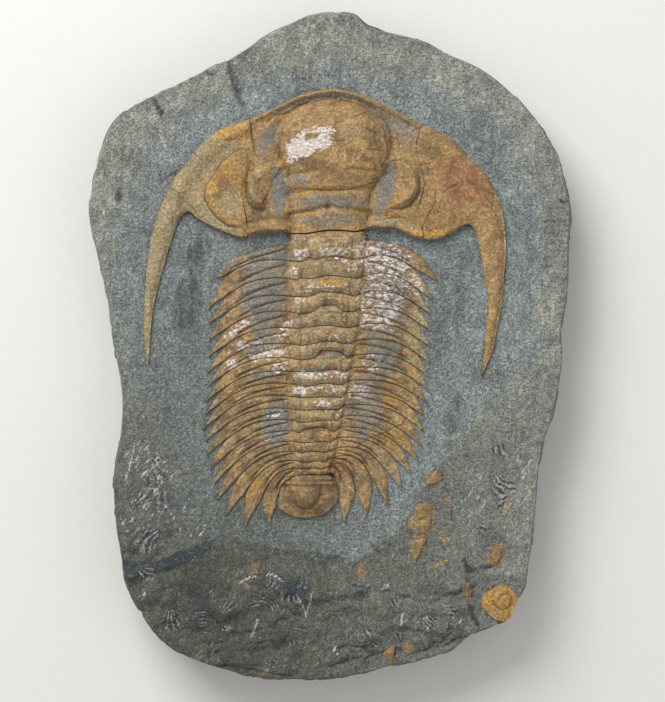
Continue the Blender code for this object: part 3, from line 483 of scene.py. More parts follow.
BRIGHT_PATCHES = (
    (211, 187, 5, 6, 120, 1.0), (232, 168, 13, 12, 0, 0.62), (232, 132, 24, 10, -10, 0.6),
    (488, 320, 26, 3, 95, 0.45), (309, 192.5, 10, 2, 0, 1.0), (329, 283, 14, 4, 0, 0.9),
    (283, 164, 6, 4, -60, 0.7), (256, 487, 14, 8, -55, 0.5), (414, 376, 4, 16, -22, 0.6),
    (399, 446, 22, 12, 24, 0.45), (389, 402, 12, 8, 20, 0.5), (300, 511, 18, 4, 8, 0.5),
    (438, 233, 22, 4, -6, 0.7), (217, 455, 9, 3, -48, 0.6),
)
RED_PATCHES = (
    (462, 182, 34, 24, 32, 0.9), (444, 212, 26, 16, -30, 0.8), (337, 466, 9, 14, -20, 0.9),
    (302, 500, 11, 9, 0, 0.3), (222, 176, 15, 10, -40, 0.6), (502, 246, 42, 5, 93, 0.6),
    (232, 300, 44, 14, 108, 0.45), (262, 190, 22, 9, 90, 0.5), (412, 310, 50, 9, 84, 0.4),
    (214, 156, 5, 5, 0, 0.5), (276, 352, 14, 30, 80, 0.3),
)
TAN_PATCHES = (
    (228, 206, 13, 16, 60, 0.9), (330, 150, 50, 22, 0, 0.25), (300, 430, 60, 12, 88, 0.5),
    (250, 430, 50, 16, 120, 0.42), (386, 224, 22, 6, 0, 0.55), (420, 425, 34, 5, 98, 0.45),
    (296, 128, 20, 12, -30, 0.5), (412, 350, 50, 10, 92, 0.6), (392, 462, 30, 18, 40, 0.6),
    (422, 330, 60, 12, 92, 0.75), (212, 380, 70, 8, 92, 0.6), (365, 415, 26, 14, 100, 0.5),
    (495, 280, 60, 9, 96, 0.4), (455, 190, 30, 20, 30, 0.4),
)
UMBER_PATCHES = (
    (250, 430, 60, 40, 110, 0.5), (305, 460, 30, 40, 90, 0.35), (355, 150, 30, 24, 0, 0.2),
    (306, 498, 30, 22, 0, 0.9), (256, 196, 22, 10, 90, 0.4),
)
# Dark smears on the rock. The two along the left ledge, at (129, 567) and (172, 561), are painted shade at the
# ledge's foot.
ROCK_DARK_PATCHES = (
    (236, 85, 27, 5, 76, 0.75), (158, 107, 13, 4, 70, 0.8), (119, 194, 10, 4, 85, 0.7),
    (198, 256, 28, 12, 106, 0.66), (188, 304, 34, 16, 100, 0.68), (191, 352, 32, 14, 94, 0.42),
    (460, 300, 60, 6, 92, 0.5), (250, 54, 15, 6, -22, 0.55), (480, 150, 7, 5, 0, 0.6),
    (556, 221, 14, 2.4, 0, 0.7), (140, 480, 22, 10, 60, 0.3), (129, 567, 22, 8, 10, 0.95),
    (172, 561, 50, 7, -22, 1.0), (248, 600, 16, 5, -20, 0.6), (284, 583, 7, 14, -30, 0.7),
    (232, 634, 20, 4, 20, 0.5), (440, 330, 70, 8, 92, 0.45), (452, 420, 26, 9, 100, 0.55),
    (492, 540, 26, 14, 60, 0.45), (320, 560, 34, 7, -5, 0.4), (297, 589, 13, 12, -30, 1.0),
    (203, 612, 12, 24, -6, 0.7), (262, 602, 15, 9, -20, 0.65), (372, 642, 14, 6, 10, 0.75),
    (399, 637, 10, 5, 0, 0.6), (470, 588, 4, 14, 0, 0.75), (466, 565, 9, 3.4, 75, 1.0),
    (486, 567, 9, 1.8, 0, 0.9), (434, 590, 26, 6, 10, 0.6), (268, 508, 26, 8, 20, 0.55),
    (378, 548, 10, 4, 30, 0.6), (220, 676, 16, 3, 10, 0.4),
)
ROCK_PALE_PATCHES = (
    (212, 86, 12, 9, -30, 0.42), (248, 100, 9, 19, 0, 0.45), (238, 72, 14, 2.6, 76, 0.6),
    (475, 93, 24, 10, 20, 0.36), (500, 112, 20, 8, 40, 0.3), (556, 226, 12, 2, 0, 0.6),
    (150, 470, 32, 24, 60, 0.52), (180, 520, 36, 20, 20, 0.46), (138, 520, 20, 28, 0, 0.46),
    (520, 480, 44, 16, 96, 0.4), (470, 500, 36, 20, 100, 0.34), (228, 627, 4, 4, 30, 1.0),
    (215, 668, 9, 2.4, 10, 0.9), (386, 586, 5, 2.4, -40, 1.0), (413, 661, 2.6, 3.4, 0, 1.0),
    (401.5, 618, 1.6, 9, 8, 0.9), (334, 645, 3, 10, -20, 0.75), (263, 574, 7, 2.4, -10, 0.8),
    (278, 577, 10, 2.4, 22, 0.8), (248, 578, 9, 1.6, -28, 0.75), (144, 588, 2, 12, 8, 0.85),
    (431, 620, 12, 12, 0, 0.5), (448, 612, 20, 5, 42, 0.6), (330, 545, 40, 8, 2, 0.3),
    (400, 512, 10, 20, 0, 0.3), (500, 330, 60, 12, 95, 0.26), (508, 525, 16, 12, 0, 0.36),
    (330, 600, 4, 20, 10, 0.45),
)
ROCK_OCHRE_PATCHES = (
    (448, 498, 9, 3, -65, 0.8), (506, 504, 9, 2, 90, 0.8), (528, 481, 4, 2, 0, 0.7),
    (468, 592, 13, 3, 84, 0.95), (441, 563, 9, 3, -28, 0.9), (444, 538, 9, 4, 10, 0.75),
    (361, 571, 11, 5, 100, 0.85), (408, 647, 6, 4, 0, 0.9), (255, 567, 9, 5, -40, 0.4),
    (245, 585, 5, 5, 0, 0.36), (264, 671, 7, 2.5, -40, 0.8), (167, 181, 9, 3.4, -36, 0.6),
    (310, 648, 14, 2, -6, 0.4), (345, 650, 10, 3, 0, 0.4), (488, 562, 10, 2, 10, 0.4),
)

# Lines of colour on the shell and on the rock.
OCHRE_LINES = (
    LEFT_FIELD_RIM,
    RIGHT_FIELD_RIM,
    ((300, 172), (318, 171.4)),
    ((351, 171), (384, 174)),
    (
        (295, 216), (304, 215.5), (317, 213.6), (328, 208.5), (337, 208), (347, 210.5), (360, 212.6),
        (368, 212.6),
    ),
    FRONT_RIDGE,
    ((292, 232), (308, 232.5), (324, 230), (339, 229.5), (355, 230.5)),
    ((262, 166), (256, 178), (270, 169)),
)
AXIS_BANDS = (
    ((289, 244), (289, 300), (289, 345), (291, 385), (291, 430), (296, 470)),
    ((366, 240), (362, 290), (358, 335), (351, 375), (344, 412), (337, 445), (329, 468)),
)
ROCK_VEINS = (
    ((153, 116), (160, 133), (167, 151), (174.5, 166)),
    ((136, 440), (132, 460), (126, 480)),
    ((297, 594), (303, 606), (306, 616)),
    ((312, 592), (310, 602), (307, 612)),
    ((402, 612), (401, 624)),
    ((258, 618), (256, 627), (251, 636)),
    ((240, 582), (247, 578), (256, 576)),
)
# The crack from (120, 572) runs along the left ledge, and its dark is partly painted shade.
ROCK_CRACKS = (
    ((479, 567), (492.5, 566)),
    ((467, 575), (469, 600), (474, 620), (480, 632)),
    ((560, 200), (568, 201)),
    ((160, 184), (169, 176.5), (178, 172.5)),
    ((120, 572), (146, 570), (171, 558.5), (201, 546), (223, 534)),
    ((200, 664), (230, 664.5), (262, 663)),
    ((215, 650), (245, 641), (276, 640)),
    ((350, 584), (380, 590), (430, 600), (462, 590)),
    ((333, 648), (350, 645), (362, 647), (378, 655)),
    ((395, 648), (415, 652), (440, 641), (452, 626)),
    ((136, 365), (148, 366)),
    ((207, 69), (212, 76)),
    ((440, 470), (448, 492), (452, 520)),
    ((213, 618), (232, 634), (262, 628), (300, 612)),
    ((330, 664), (380, 652), (430, 648), (468, 634)),
    ((216, 664), (250, 668), (290, 676)),
    ((318, 563), (330, 558), (346, 560)),
)

# Crushed, feathered marks: x and y of the centre, inner and outer reach, the way they point and half their
# spread in degrees, and how many radians their waves go through per radian round the centre and per point
# out from it.
PLUMES = (
    (173, 602, 3, 34, 95, 40, 24, 0.2), (204, 652, 14, 58, -90, 15, 3, 1.9),
    (218, 617, 4, 32, -48, 26, 26, 0.1), (262, 616, 8, 28, -80, 66, 5, 1.8),
    (262, 610, 8, 30, 108, 12, 24, 0), (293, 590, 2, 22, 60, 120, 9, 0.5),
    (291, 657, 20, 38, -90, 26, 4, 1.9), (291, 632, 2, 20, 92, 44, 16, 0.1),
    (266, 675, 4, 22, -85, 38, 22, 0.2), (304, 588, 4, 32, 84, 14, 20, 0),
    (370, 657, 9, 26, -90, 44, 4, 1.8), (397, 653, 8, 28, -88, 34, 22, 0.6),
    (430, 600, 8, 36, 92, 30, 26, 1.4), (436, 598, 2, 32, 38, 18, 24, 0.9),
    (454, 610, 4, 36, 115, 14, 20, 0.4), (416, 616, 6, 26, -90, 36, 22, 1.2),
    (392, 616, 6, 32, -85, 24, 22, 0.8), (364, 616, 4, 28, 80, 26, 18, 0.2),
    (262, 590, 4, 26, -30, 44, 16, 0.6), (150, 446, 4, 48, 60, 30, 24, 0.3),
    (170, 470, 6, 50, 100, 22, 26, 0.3), (128, 508, 4, 48, -40, 26, 24, 0.3),
    (166, 528, 4, 40, 150, 34, 20, 0.4), (140, 562, 4, 30, 60, 44, 16, 0.8),
    (496, 466, 4, 38, 70, 36, 18, 0.8), (522, 510, 4, 34, 200, 38, 18, 0.9),
    (474, 514, 3, 28, 80, 44, 18, 0.7), (500, 432, 4, 32, 100, 32, 18, 0.4),
)
PHASE_RANGE = 160.0  # radians between the least and the greatest stored phase

# The rock darkens from the top down, less so towards the right: partly the broken rock's own darker tone,
# partly painted shade of the light falling off down the plate.
SHADE_TOP = 150
SHADE_HEIGHT = 400
SHADE_LEFT = 130
SHADE_WIDTH = 390

# The pale prepared rock fills this loop. Its edge is crisp below the tail and fades out beside the cheeks.
PREPARED_EDGE = (
    (236, 538), (298, 550), (330, 554), (346.6, 563), (360, 558), (378, 545), (398, 529), (412, 510),
    (420.6, 492.5), (433.6, 468), (446, 448), (470, 425), (500, 390), (600, 330), (600, 0), (60, 0),
    (60, 578), (120, 573), (146, 571), (171, 560), (201, 547),
)


def linear(hex_color):
    """An sRGB hex colour as linear red, green and blue."""
    levels = [int(hex_color[start:start + 2], 16) / 255 for start in (1, 3, 5)]
    return tuple(level / 12.92 if level <= 0.04045 else ((level + 0.055) / 1.055) ** 2.4 for level in levels)


def length_setting(name, description, default):
    """A size in metres that the sidebar shows."""
    return FloatProperty(
        name=name, description=description, default=default, min=0.0, precision=5,
        subtype="DISTANCE", unit="LENGTH",
    )


def colour_setting(name, description, hex_color):
    """A colour that the sidebar shows."""
    return FloatVectorProperty(
        name=name, description=description, default=linear(hex_color), min=0.0, max=1.0, size=3,
        subtype="COLOR",
    )


class FossilRelief(PropertyGroup):
    """How far the fossil and the rock's own roughness stand out."""

    glabella: length_setting("Glabella", "Height of the head's swollen middle above the bed", 0.0084)
    cheek: length_setting("Cheek", "Height of the cheeks above the bed", 0.0030)
    head_rim: length_setting("Head rim", "How far the head's raised border stands above the cheek", 0.0012)
    eye: length_setting("Eye lobe", "How far the eye lobes stand above the cheek", 0.0022)
    posterior: length_setting("Rear border", "How far the head's rear border stands out", 0.0010)
    genal_spine: length_setting("Genal spine", "Height of the cheeks' long spines above the bed", 0.0019)
    shell_edge: length_setting("Shell edge", "Thickness of a shell's thin edge", 0.0011)
    front_ring: length_setting("First ring", "Height of the first ring of the thorax", 0.0060)
    rear_ring: length_setting("Last ring", "Height of the last ring of the thorax", 0.0034)
    axial_furrow: length_setting("Axial furrow", "Height of the furrows beside the rings", 0.0017)
    pleura: length_setting("Pleura", "Height of the pleurae above the bed", 0.0027)
    spine_tip: length_setting("Spine tip", "Height of a pleural spine's tip", 0.0007)
    pleural_furrow: length_setting("Pleural furrow", "Depth of the slanting furrow in each pleura", 0.0007)
    pygidium: length_setting("Tail plate", "Height of the tail plate", 0.0024)
    boss: length_setting("Tail boss", "Height of the tail plate's boss above it", 0.0026)
    small_shell: length_setting("Small shell", "Height of the small round shell", 0.0020)
    fragment: length_setting("Fragment", "Thickness of the loose shell fragments", 0.0009)
    shell_pitting: length_setting("Shell pitting", "Depth of the pits left in the shell", 0.00012)
    rock_grain: length_setting("Rock grain", "Height of the mudstone's fine roughness", 0.00016)
    broken_rock: length_setting("Broken rock", "Height of the lower rock's lumps", 0.0015)
    wall: length_setting("Side roughness", "How far the plate's broken sides move in and out", 0.0026)


class FossilColours(PropertyGroup):
    """The colours of the shell and the rock."""

    ochre: colour_setting("Ochre", "The shell's main colour", "#a18052")
    umber: colour_setting("Umber", "The shell's darker mottling", "#7a6243")
    bright: colour_setting("Bright ochre", "Iron-rich rims and furrows", "#b68b42")
    tan: colour_setting("Tan", "Dusty tan film on the shell", "#9b8c68")
    # Besides the grime in seams and cracks, this brown is painted as shade: under the eye lobes, before the
    # glabella, under the tail's boss, along the cheeks' edges and in the thorax's seams.
    red: colour_setting("Red ochre", "Reddish shell", "#8f6145")
    seam: colour_setting("Seam", "Dirt in seams and cracks", "#352614")
    grey: colour_setting("Rock fill", "Grey rock seen where the shell is gone", "#7a7870")
    scuff: colour_setting("Scuff", "White to pink abraded shell", "#cfc3bd")
    prepared: colour_setting("Prepared rock", "Blue grey rock round the fossil", "#7b8280")
    upper: colour_setting("Weathered rock", "Browner rock that wasn't prepared", "#84857d")
    lower: colour_setting("Broken rock", "Brown grey rock below the fossil", "#52534a")
    # Besides real dark smears and cracks, this colour is painted shade along the left ledge and in the troughs
    # of the feathered marks.
    shade: colour_setting("Dark rock", "Dark smears and hollows", "#393d42")
    fleck: colour_setting("Flecks", "White flecks, scratches and veins", "#b9bcb8")
    floor: colour_setting("Floor", "The plain floor under the plate", "#d8d6d1")


class FossilStage(PropertyGroup):
    """The camera and the lights."""

    lens: FloatProperty(name="Lens", description="Focal length", default=135.0, min=20.0, unit="CAMERA")
    key_power: FloatProperty(
        name="Key light", description="Power of the large light", default=14.0, unit="POWER",
    )
    fill_power: FloatProperty(
        name="Fill light", description="Power of the fill light", default=2.0, unit="POWER",
    )
    sky: FloatProperty(name="Sky", description="Strength of the even light all round", default=0.56, min=0.0)


# Curves, distances and noise in the reference view


def catmull_rom(before, start, end, after, share):
    """The point at share of the way from start to end on a smooth curve through four points."""
    square = share * share
    cube = square * share
    return 0.5 * (
        2 * start
        + (end - before) * share
        + (2 * before - 5 * start + 4 * end - after) * square
        + (3 * start - before - 3 * end + after) * cube
    )


def along_loop(points, share):
    """The points at shares of the way round a smooth closed curve."""
    points = np.array(points, dtype=float)
    place_on = share * len(points)
    index = np.floor(place_on).astype(int)
    corners = [points[(index + step) % len(points)] for step in (-1, 0, 1, 2)]
    return catmull_rom(*corners, (place_on - index)[:, None])


def even_loop(points, count):
    """Points spaced evenly round the smooth closed curve through the given ones."""
    fine = along_loop(points, np.arange(len(points) * 8) / (len(points) * 8))
    closed = np.vstack((fine, fine[:1]))
    lengths = np.concatenate(([0.0], np.cumsum(np.hypot(*np.diff(closed, axis=0).T))))
    targets = lengths[-1] * np.arange(count) / count
    return np.column_stack([np.interp(targets, lengths, closed[:, axis]) for axis in (0, 1)])


def smooth_between(table, key):
    """The values at keys on a smooth curve through a table of (key, value) pairs, flat past its ends."""
    keys, values = np.array(table, dtype=float).T
    key = np.clip(key, keys[0], keys[-1])
    index = np.clip(np.searchsorted(keys, key, side="left") - 1, 0, len(keys) - 2)
    share = (key - keys[index]) / (keys[index + 1] - keys[index])
    before = values[np.maximum(index - 1, 0)]
    after = values[np.minimum(index + 2, len(keys) - 1)]
    return catmull_rom(before, values[index], values[index + 1], after, share)


def smooth_step(value):
    """0 below 0, 1 above 1, and a smooth rise between."""
    value = np.clip(value, 0.0, 1.0)
    return value * value * (3 - 2 * value)


def blend(start, end, share):
    return start + (end - start) * share


def bump(distance, width):
    """A rounded ridge: 1 on its line, falling away over its width."""
    return np.exp(-((distance / width) ** 2))


def strongest(*masks):
    """The greatest of several masks at each point."""
    return np.maximum.reduce(np.broadcast_arrays(*masks))


CAD_OUTLINE = even_loop(PLATE_OUTLINE, OUTLINE_STEPS)
FINE_OUTLINE = even_loop(PLATE_OUTLINE, FINE_STEPS)
VIEW_CENTRE = (CAD_OUTLINE.min(axis=0) + CAD_OUTLINE.max(axis=0)) / 2
METRES_PER_POINT = (CAD_HIGH.y - CAD_LOW.y) / np.ptp(CAD_OUTLINE[:, 1])
HALF_GAP = SEAM_GAP / 2 / METRES_PER_POINT


def place(x, y, height):
    """View points at heights as places in metres, one row each."""
    across = (x - VIEW_CENTRE[0]) * METRES_PER_POINT
    up = (VIEW_CENTRE[1] - y) * METRES_PER_POINT
    return np.column_stack((across, up, np.broadcast_to(height, np.shape(x))))


def line_distance(x, y, start, end):
    """How far view points lie from a line between two others."""
    run_x, run_y = end[0] - start[0], end[1] - start[1]
    share = ((x - start[0]) * run_x + (y - start[1]) * run_y) / (run_x ** 2 + run_y ** 2)
    share = np.clip(share, 0.0, 1.0)
    return np.hypot(x - start[0] - run_x * share, y - start[1] - run_y * share)


def chain_distance(x, y, chain):
    """How far view points lie from a chain of points."""
    return np.min([line_distance(x, y, start, end) for start, end in zip(chain, chain[1:])], axis=0)


def loop_distance(x, y, loop):
    """How far view points lie inside a closed loop, less than zero outside it."""
    distance = np.full(np.shape(x), np.inf)
    inside = np.zeros(np.shape(x), dtype=bool)
    for index, start in enumerate(loop):
        end = loop[index - 1]
        distance = np.minimum(distance, line_distance(x, y, start, end))
        if start[1] != end[1]:
            crossing = start[0] + (y - start[1]) * (end[0] - start[0]) / (end[1] - start[1])
            inside ^= ((start[1] > y) != (end[1] > y)) & (x < crossing)
    return np.where(inside, distance, -distance)


def ovals(x, y, patches):
    """How strongly soft oval patches cover view points, from 0 to 1."""
    cover = np.zeros(np.shape(x))
    for centre_x, centre_y, half_length, half_width, turn, strength in patches:
        angle = math.radians(turn)
        along = (x - centre_x) * math.cos(angle) + (y - centre_y) * math.sin(angle)
        across = (y - centre_y) * math.cos(angle) - (x - centre_x) * math.sin(angle)
        out = np.hypot(along / half_length, across / half_width)
        cover = np.maximum(cover, strength * smooth_step((1.4 - out) / 0.8))
    return cover


def strokes(x, y, chains, width):
    """How strongly lines of a width cover view points, from 0 to 1."""
    return np.max([bump(chain_distance(x, y, chain), width) for chain in chains], axis=0)


def lumps(x, y, across, down, seed):
    """Smooth noise from -1 to 1, its lumps across by down view points."""
    return np.array([noise.noise(Vector((px / across, py / down, seed))) for px, py in zip(x, y)])


def rough(x, y, size, octaves, seed):
    """Noise from about -1 to 1 whose largest lumps are size view points, with finer ones on them."""
    spots = (Vector((px / size, py / size, seed)) for px, py in zip(x, y))
    return np.array([noise.fractal(spot, 1.0, 2.0, octaves) for spot in spots])


# Building a piece


def grid(columns, rows):
    """A flat sheet of cells, and its corners' shares of the way across and up it."""
    bm = bmesh.new()
    bmesh.ops.create_grid(bm, x_segments=columns, y_segments=rows, size=0.5)
    corners = np.array([vert.co for vert in bm.verts])
    return bm, corners[:, 0] + 0.5, corners[:, 1] + 0.5


def move_to(bm, places):
    for vert, where in zip(bm.verts, places):
        vert.co = where


def store(bm, masks):
    """Keeps each mask as a value on every corner, for the materials."""
    for name, values in masks.items():
        layer = bm.verts.layers.float.new(name)
        for vert, value in zip(bm.verts, np.clip(values, 0.0, 1.0)):
            vert[layer] = value


def close_below(bm, floors):
    """Walls go down from the sheet's rim past each floor in turn. One flat face closes them at the last."""
    rim = [edge for edge in bm.edges if edge.is_boundary]
    for floor in floors:
        walls = bmesh.ops.extrude_edge_only(bm, edges=rim)["geom"]
        for item in walls:
            if isinstance(item, bmesh.types.BMVert):
                item.co.z = floor
        rim = [item for item in walls if isinstance(item, bmesh.types.BMEdge) and item.is_boundary]
    bmesh.ops.edgeloop_fill(bm, edges=rim)


def face_outwards(bm):
    """Every face of a closed shape points out of it."""
    bmesh.ops.recalc_face_normals(bm, faces=bm.faces)
    if bm.calc_volume(signed=True) < 0:
        bmesh.ops.reverse_faces(bm, faces=bm.faces)


def finish_piece(bm, node, material, crease):
    """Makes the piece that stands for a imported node: same name root, same place, riding on the root body."""
    face_outwards(bm)
    name = f"{node}_surface"
    mesh = bpy.data.meshes.new(name)
    bm.to_mesh(mesh)
    bm.free()
    mesh.shade_smooth()
    mesh.set_sharp_from_angle(angle=math.radians(crease))
    mesh.materials.append(material)
    piece = bpy.data.objects.new(name, mesh)
    bpy.context.scene.collection.objects.link(piece)
    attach(piece, "root")
    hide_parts(node)
    return piece


def shell_piece(node, bm, x, y, height, masks, floor):
    """A fossil piece from its sheet: placed, stained, closed below and finished."""
    pits = rough(x, y, *PITS) * bpy.context.scene.fossil_relief.shell_pitting
    move_to(bm, place(x, y, height + pits))
    stains = shell_stains(x, y)
    for name, values in masks.items():
        stains[name] = np.maximum(stains[name], values)
    store(bm, stains)
    bmesh.ops.remove_doubles(bm, verts=bm.verts, dist=WELD)
    close_below(bm, [floor - SKIRT])
    return finish_piece(bm, node, shell_material(), 38.0)


# Materials


def add(tree, kind, inputs=None, **settings):
    """Adds a node with its settings. inputs gives each socket a value, or the output that feeds it."""
    made = tree.nodes.new(kind)
    for name, value in settings.items():
        setattr(made, name, value)
    for name, value in (inputs or {}).items():
        if isinstance(value, bpy.types.NodeSocket):
            tree.links.new(value, made.inputs[name])
        else:
            made.inputs[name].default_value = value
    return made


def mottle(tree, where, size, detail=2.0, low=0.36, high=0.64, squash=(1.0, 1.0, 1.0), turn=0.0):
    """A pattern from 0 to 1 whose lumps have a real size in metres, drawn out along the squashed axes, which
    are turned by an angle in degrees."""
    turned = add(tree, "ShaderNodeVectorRotate", {
        "Vector": where, "Angle": -math.radians(turn),
    }, rotation_type="Z_AXIS").outputs[0]
    drawn = add(tree, "ShaderNodeVectorMath", {0: turned, 1: squash}, operation="MULTIPLY").outputs[0]
    lumpy = add(tree, "ShaderNodeTexNoise", {
        "Vector": drawn, "Scale": 1 / size, "Detail": detail, "Roughness": 0.65,
    })
    spread = add(tree, "ShaderNodeMapRange", {
        "Value": lumpy.outputs[0], "From Min": low, "From Max": high,
    }, interpolation_type="SMOOTHSTEP")
    return spread.outputs["Result"]


def coat(tree, below, colour, mask, grain, raggedness, softness):
    """Lays a colour over what is below where a mask is, given by its name or as an output. The grain eats
    into it, more so where the mask is weak."""
    if isinstance(mask, str):
        mask = add(tree, "ShaderNodeAttribute", attribute_name=mask).outputs["Fac"]
    left = add(tree, "ShaderNodeMath", {
        0: grain, 1: raggedness, 2: -raggedness,
    }, operation="MULTIPLY_ADD")
    ragged = add(tree, "ShaderNodeMath", {0: mask, 1: left.outputs[0]}, operation="ADD")
    share = add(tree, "ShaderNodeMapRange", {
        "Value": ragged.outputs[0], "From Min": 0.0, "From Max": softness,
    }, interpolation_type="SMOOTHSTEP").outputs["Result"]
    laid = add(tree, "ShaderNodeMix", {0: share, 6: below, 7: (*colour, 1.0)}, data_type="RGBA")
    return laid.outputs[2]


def shade(tree, below, pattern, low, high):
    """Scales the brightness of what is below, from low where a pattern is 0 to high where it is 1."""
    level = add(tree, "ShaderNodeMapRange", {"Value": pattern, "To Min": low, "To Max": high}).outputs[0]
    grey = add(tree, "ShaderNodeCombineColor", {0: level, 1: level, 2: level}).outputs[0]
    result = add(tree, "ShaderNodeMix", {0: 1.0, 6: below, 7: grey}, data_type="RGBA", blend_type="MULTIPLY")
    return result.outputs[2]


def roughen(tree, shader, height, strength, distance):
    """Fine relief that is too small to model."""
    relief = add(tree, "ShaderNodeBump", {"Strength": strength, "Distance": distance, "Height": height})
    tree.links.new(relief.outputs[0], shader.inputs["Normal"])


def new_material(name):
    material = bpy.data.materials.new(name)
    material.use_nodes = True
    tree = material.node_tree
    return material, tree, tree.nodes["Principled BSDF"], add(tree, "ShaderNodeTexCoord").outputs["Object"]


def shell_material():
    """Iron-stained calcite shell, air abraded: matt and granular, ochre mottled with umber, white where the
    abrasion scuffed it, rock grey where it went through, and brown where grime fills the seams. The same dark
    brown is also painted shade: under the eye lobes, before the glabella, under the tail's boss, along the
    cheeks' edges and in the thorax's seams."""
    name = "iron_stained_shell"
    if name in bpy.data.materials:
        return bpy.data.materials[name]
    colours = bpy.context.scene.fossil_colours
    material, tree, shader, where = new_material(name)
    crystals = mottle(tree, where, size=0.0008, detail=5.0, low=0.34, high=0.66)
    crumbs = mottle(tree, where, size=0.0012, detail=4.0)
    flakes = mottle(tree, where, size=0.0009, detail=5.0, low=0.34, high=0.66, squash=(0.6, 1.0, 1.0))
    film = mottle(tree, where, size=0.0026, detail=5.0, squash=(0.7, 1.0, 1.0), turn=20.0)
    blotches = mottle(tree, where, size=0.0045, detail=5.0)
    clouds = mottle(tree, where, size=0.016, detail=3.0)
    bare = (*colours.ochre, 1.0)
    colour = coat(tree, bare, colours.umber, "umber", blotches, raggedness=0.7, softness=0.8)
    colour = shade(tree, colour, clouds, low=0.84, high=1.1)
    for stain, grain, raggedness, softness in (
        ("tan", film, 0.5, 0.7),
        ("red", blotches, 0.4, 1.2),
        ("bright", blotches, 0.4, 0.7),
        ("grey", film, 0.35, 0.9),
    ):
        colour = coat(tree, colour, getattr(colours, stain), stain, grain, raggedness, softness)
    colour = shade(tree, colour, blotches, low=1.08, high=0.88)
    colour = shade(tree, colour, crumbs, low=0.78, high=1.15)
    colour = coat(tree, colour, colours.scuff, "scuff", flakes, raggedness=0.9, softness=0.36)
    colour = shade(tree, colour, crystals, low=0.68, high=1.32)
    colour = coat(tree, colour, colours.seam, "dark", crystals, raggedness=0.2, softness=0.9)
    tree.links.new(colour, shader.inputs["Base Color"])
    dull = add(tree, "ShaderNodeMapRange", {"Value": crumbs, "To Min": 0.66, "To Max": 0.88})
    tree.links.new(dull.outputs[0], shader.inputs["Roughness"])
    pits = add(tree, "ShaderNodeMath", {0: crystals, 1: 0.6, 2: crumbs}, operation="MULTIPLY_ADD")
    roughen(tree, shader, pits.outputs[0], strength=0.8, distance=0.00022)
    return material


def feathered_marks(tree, crumbs):
    """The crests and troughs of the waves in the crushed, feathered marks. The crests are painted pale and the
    troughs dark: partly the marks' own colour, partly painted highlight and shade of their low ridges.
    """
    strength = add(tree, "ShaderNodeAttribute", attribute_name="plume").outputs["Fac"]
    turns = add(tree, "ShaderNodeAttribute", attribute_name="plume_phase").outputs["Fac"]
    bends = add(tree, "ShaderNodeMath", {0: crumbs, 1: 2.4}, operation="MULTIPLY").outputs[0]
    phase = add(tree, "ShaderNodeMath", {0: turns, 1: PHASE_RANGE, 2: bends}, operation="MULTIPLY_ADD")
    wave = add(tree, "ShaderNodeMath", {0: phase.outputs[0]}, operation="SINE").outputs[0]
    return [
        add(tree, "ShaderNodeMapRange", {
            "Value": wave, "From Min": sign * 0.1, "From Max": sign * 0.8, "To Max": strength,
        }).outputs[0] for sign in (1, -1)
    ]


def rock_material():
    """Split mudstone: dull blue grey with a salt and pepper grain, browner where it was left as it broke,
    with dark smears, white tool flecks and ochre stains beside the shells."""
    colours = bpy.context.scene.fossil_colours
    material, tree, shader, where = new_material("split_mudstone")
    grains = mottle(tree, where, size=0.0006, detail=5.0, low=0.34, high=0.66)
    crumbs = mottle(tree, where, size=0.0013, detail=4.0)
    flecks = mottle(
        tree, where, size=0.0010, detail=5.0, low=0.5, high=0.66, squash=(0.3, 1.0, 1.0), turn=55.0,
    )
    smears = mottle(tree, where, size=0.0022, detail=4.0, squash=(1.0, 0.35, 1.0))
    blotches = mottle(tree, where, size=0.007, detail=5.0)
    clouds = mottle(tree, where, size=0.03, detail=4.0)
    bare = (*colours.prepared, 1.0)
    colour = coat(tree, bare, colours.upper, "upper", blotches, raggedness=0.4, softness=0.7)
    colour = coat(tree, colour, colours.lower, "lower", blotches, raggedness=0.25, softness=0.9)
    colour = shade(tree, colour, clouds, low=0.86, high=1.1)
    colour = shade(tree, colour, smears, low=0.82, high=1.15)
    colour = shade(tree, colour, blotches, low=0.82, high=1.15)
    crests, troughs = feathered_marks(tree, crumbs)
    for layer, mask, grain, raggedness, softness in (
        (colours.shade, "dark", smears, 0.4, 0.9),
        (colours.shade, troughs, crumbs, 0.3, 0.75),
        (colours.ochre, "ochre", blotches, 0.5, 0.9),
    ):
        colour = coat(tree, colour, layer, mask, grain, raggedness, softness)
    colour = shade(tree, colour, grains, low=0.52, high=1.52)
    colour = shade(tree, colour, crumbs, low=0.80, high=1.16)
    for mask, grain, raggedness, softness in (
        (crests, grains, 0.55, 1.5),
        ("pale", flecks, 0.85, 0.5),
        ("vein", grains, 0.5, 0.9),
    ):
        colour = coat(tree, colour, colours.fleck, mask, grain, raggedness, softness)
    tree.links.new(colour, shader.inputs["Base Color"])
    shader.inputs["Roughness"].default_value = 0.9
    fine = add(tree, "ShaderNodeMath", {0: grains, 1: 0.4, 2: crumbs}, operation="MULTIPLY_ADD").outputs[0]
    broken = add(tree, "ShaderNodeMath", {0: blotches, 1: 1.2, 2: fine}, operation="MULTIPLY_ADD").outputs[0]
    roughen(tree, shader, broken, strength=0.8, distance=0.0003)
    return material


def floor_material():
    """Matt painted board: plain and pale, with a faint roller texture."""
    material, tree, shader, where = new_material("matt_painted_board")
    shader.inputs["Base Color"].default_value = (*bpy.context.scene.fossil_colours.floor, 1.0)
    shader.inputs["Roughness"].default_value = 0.85
    roughen(tree, shader, mottle(tree, where, size=0.002), strength=0.1, distance=0.0002)
    return material


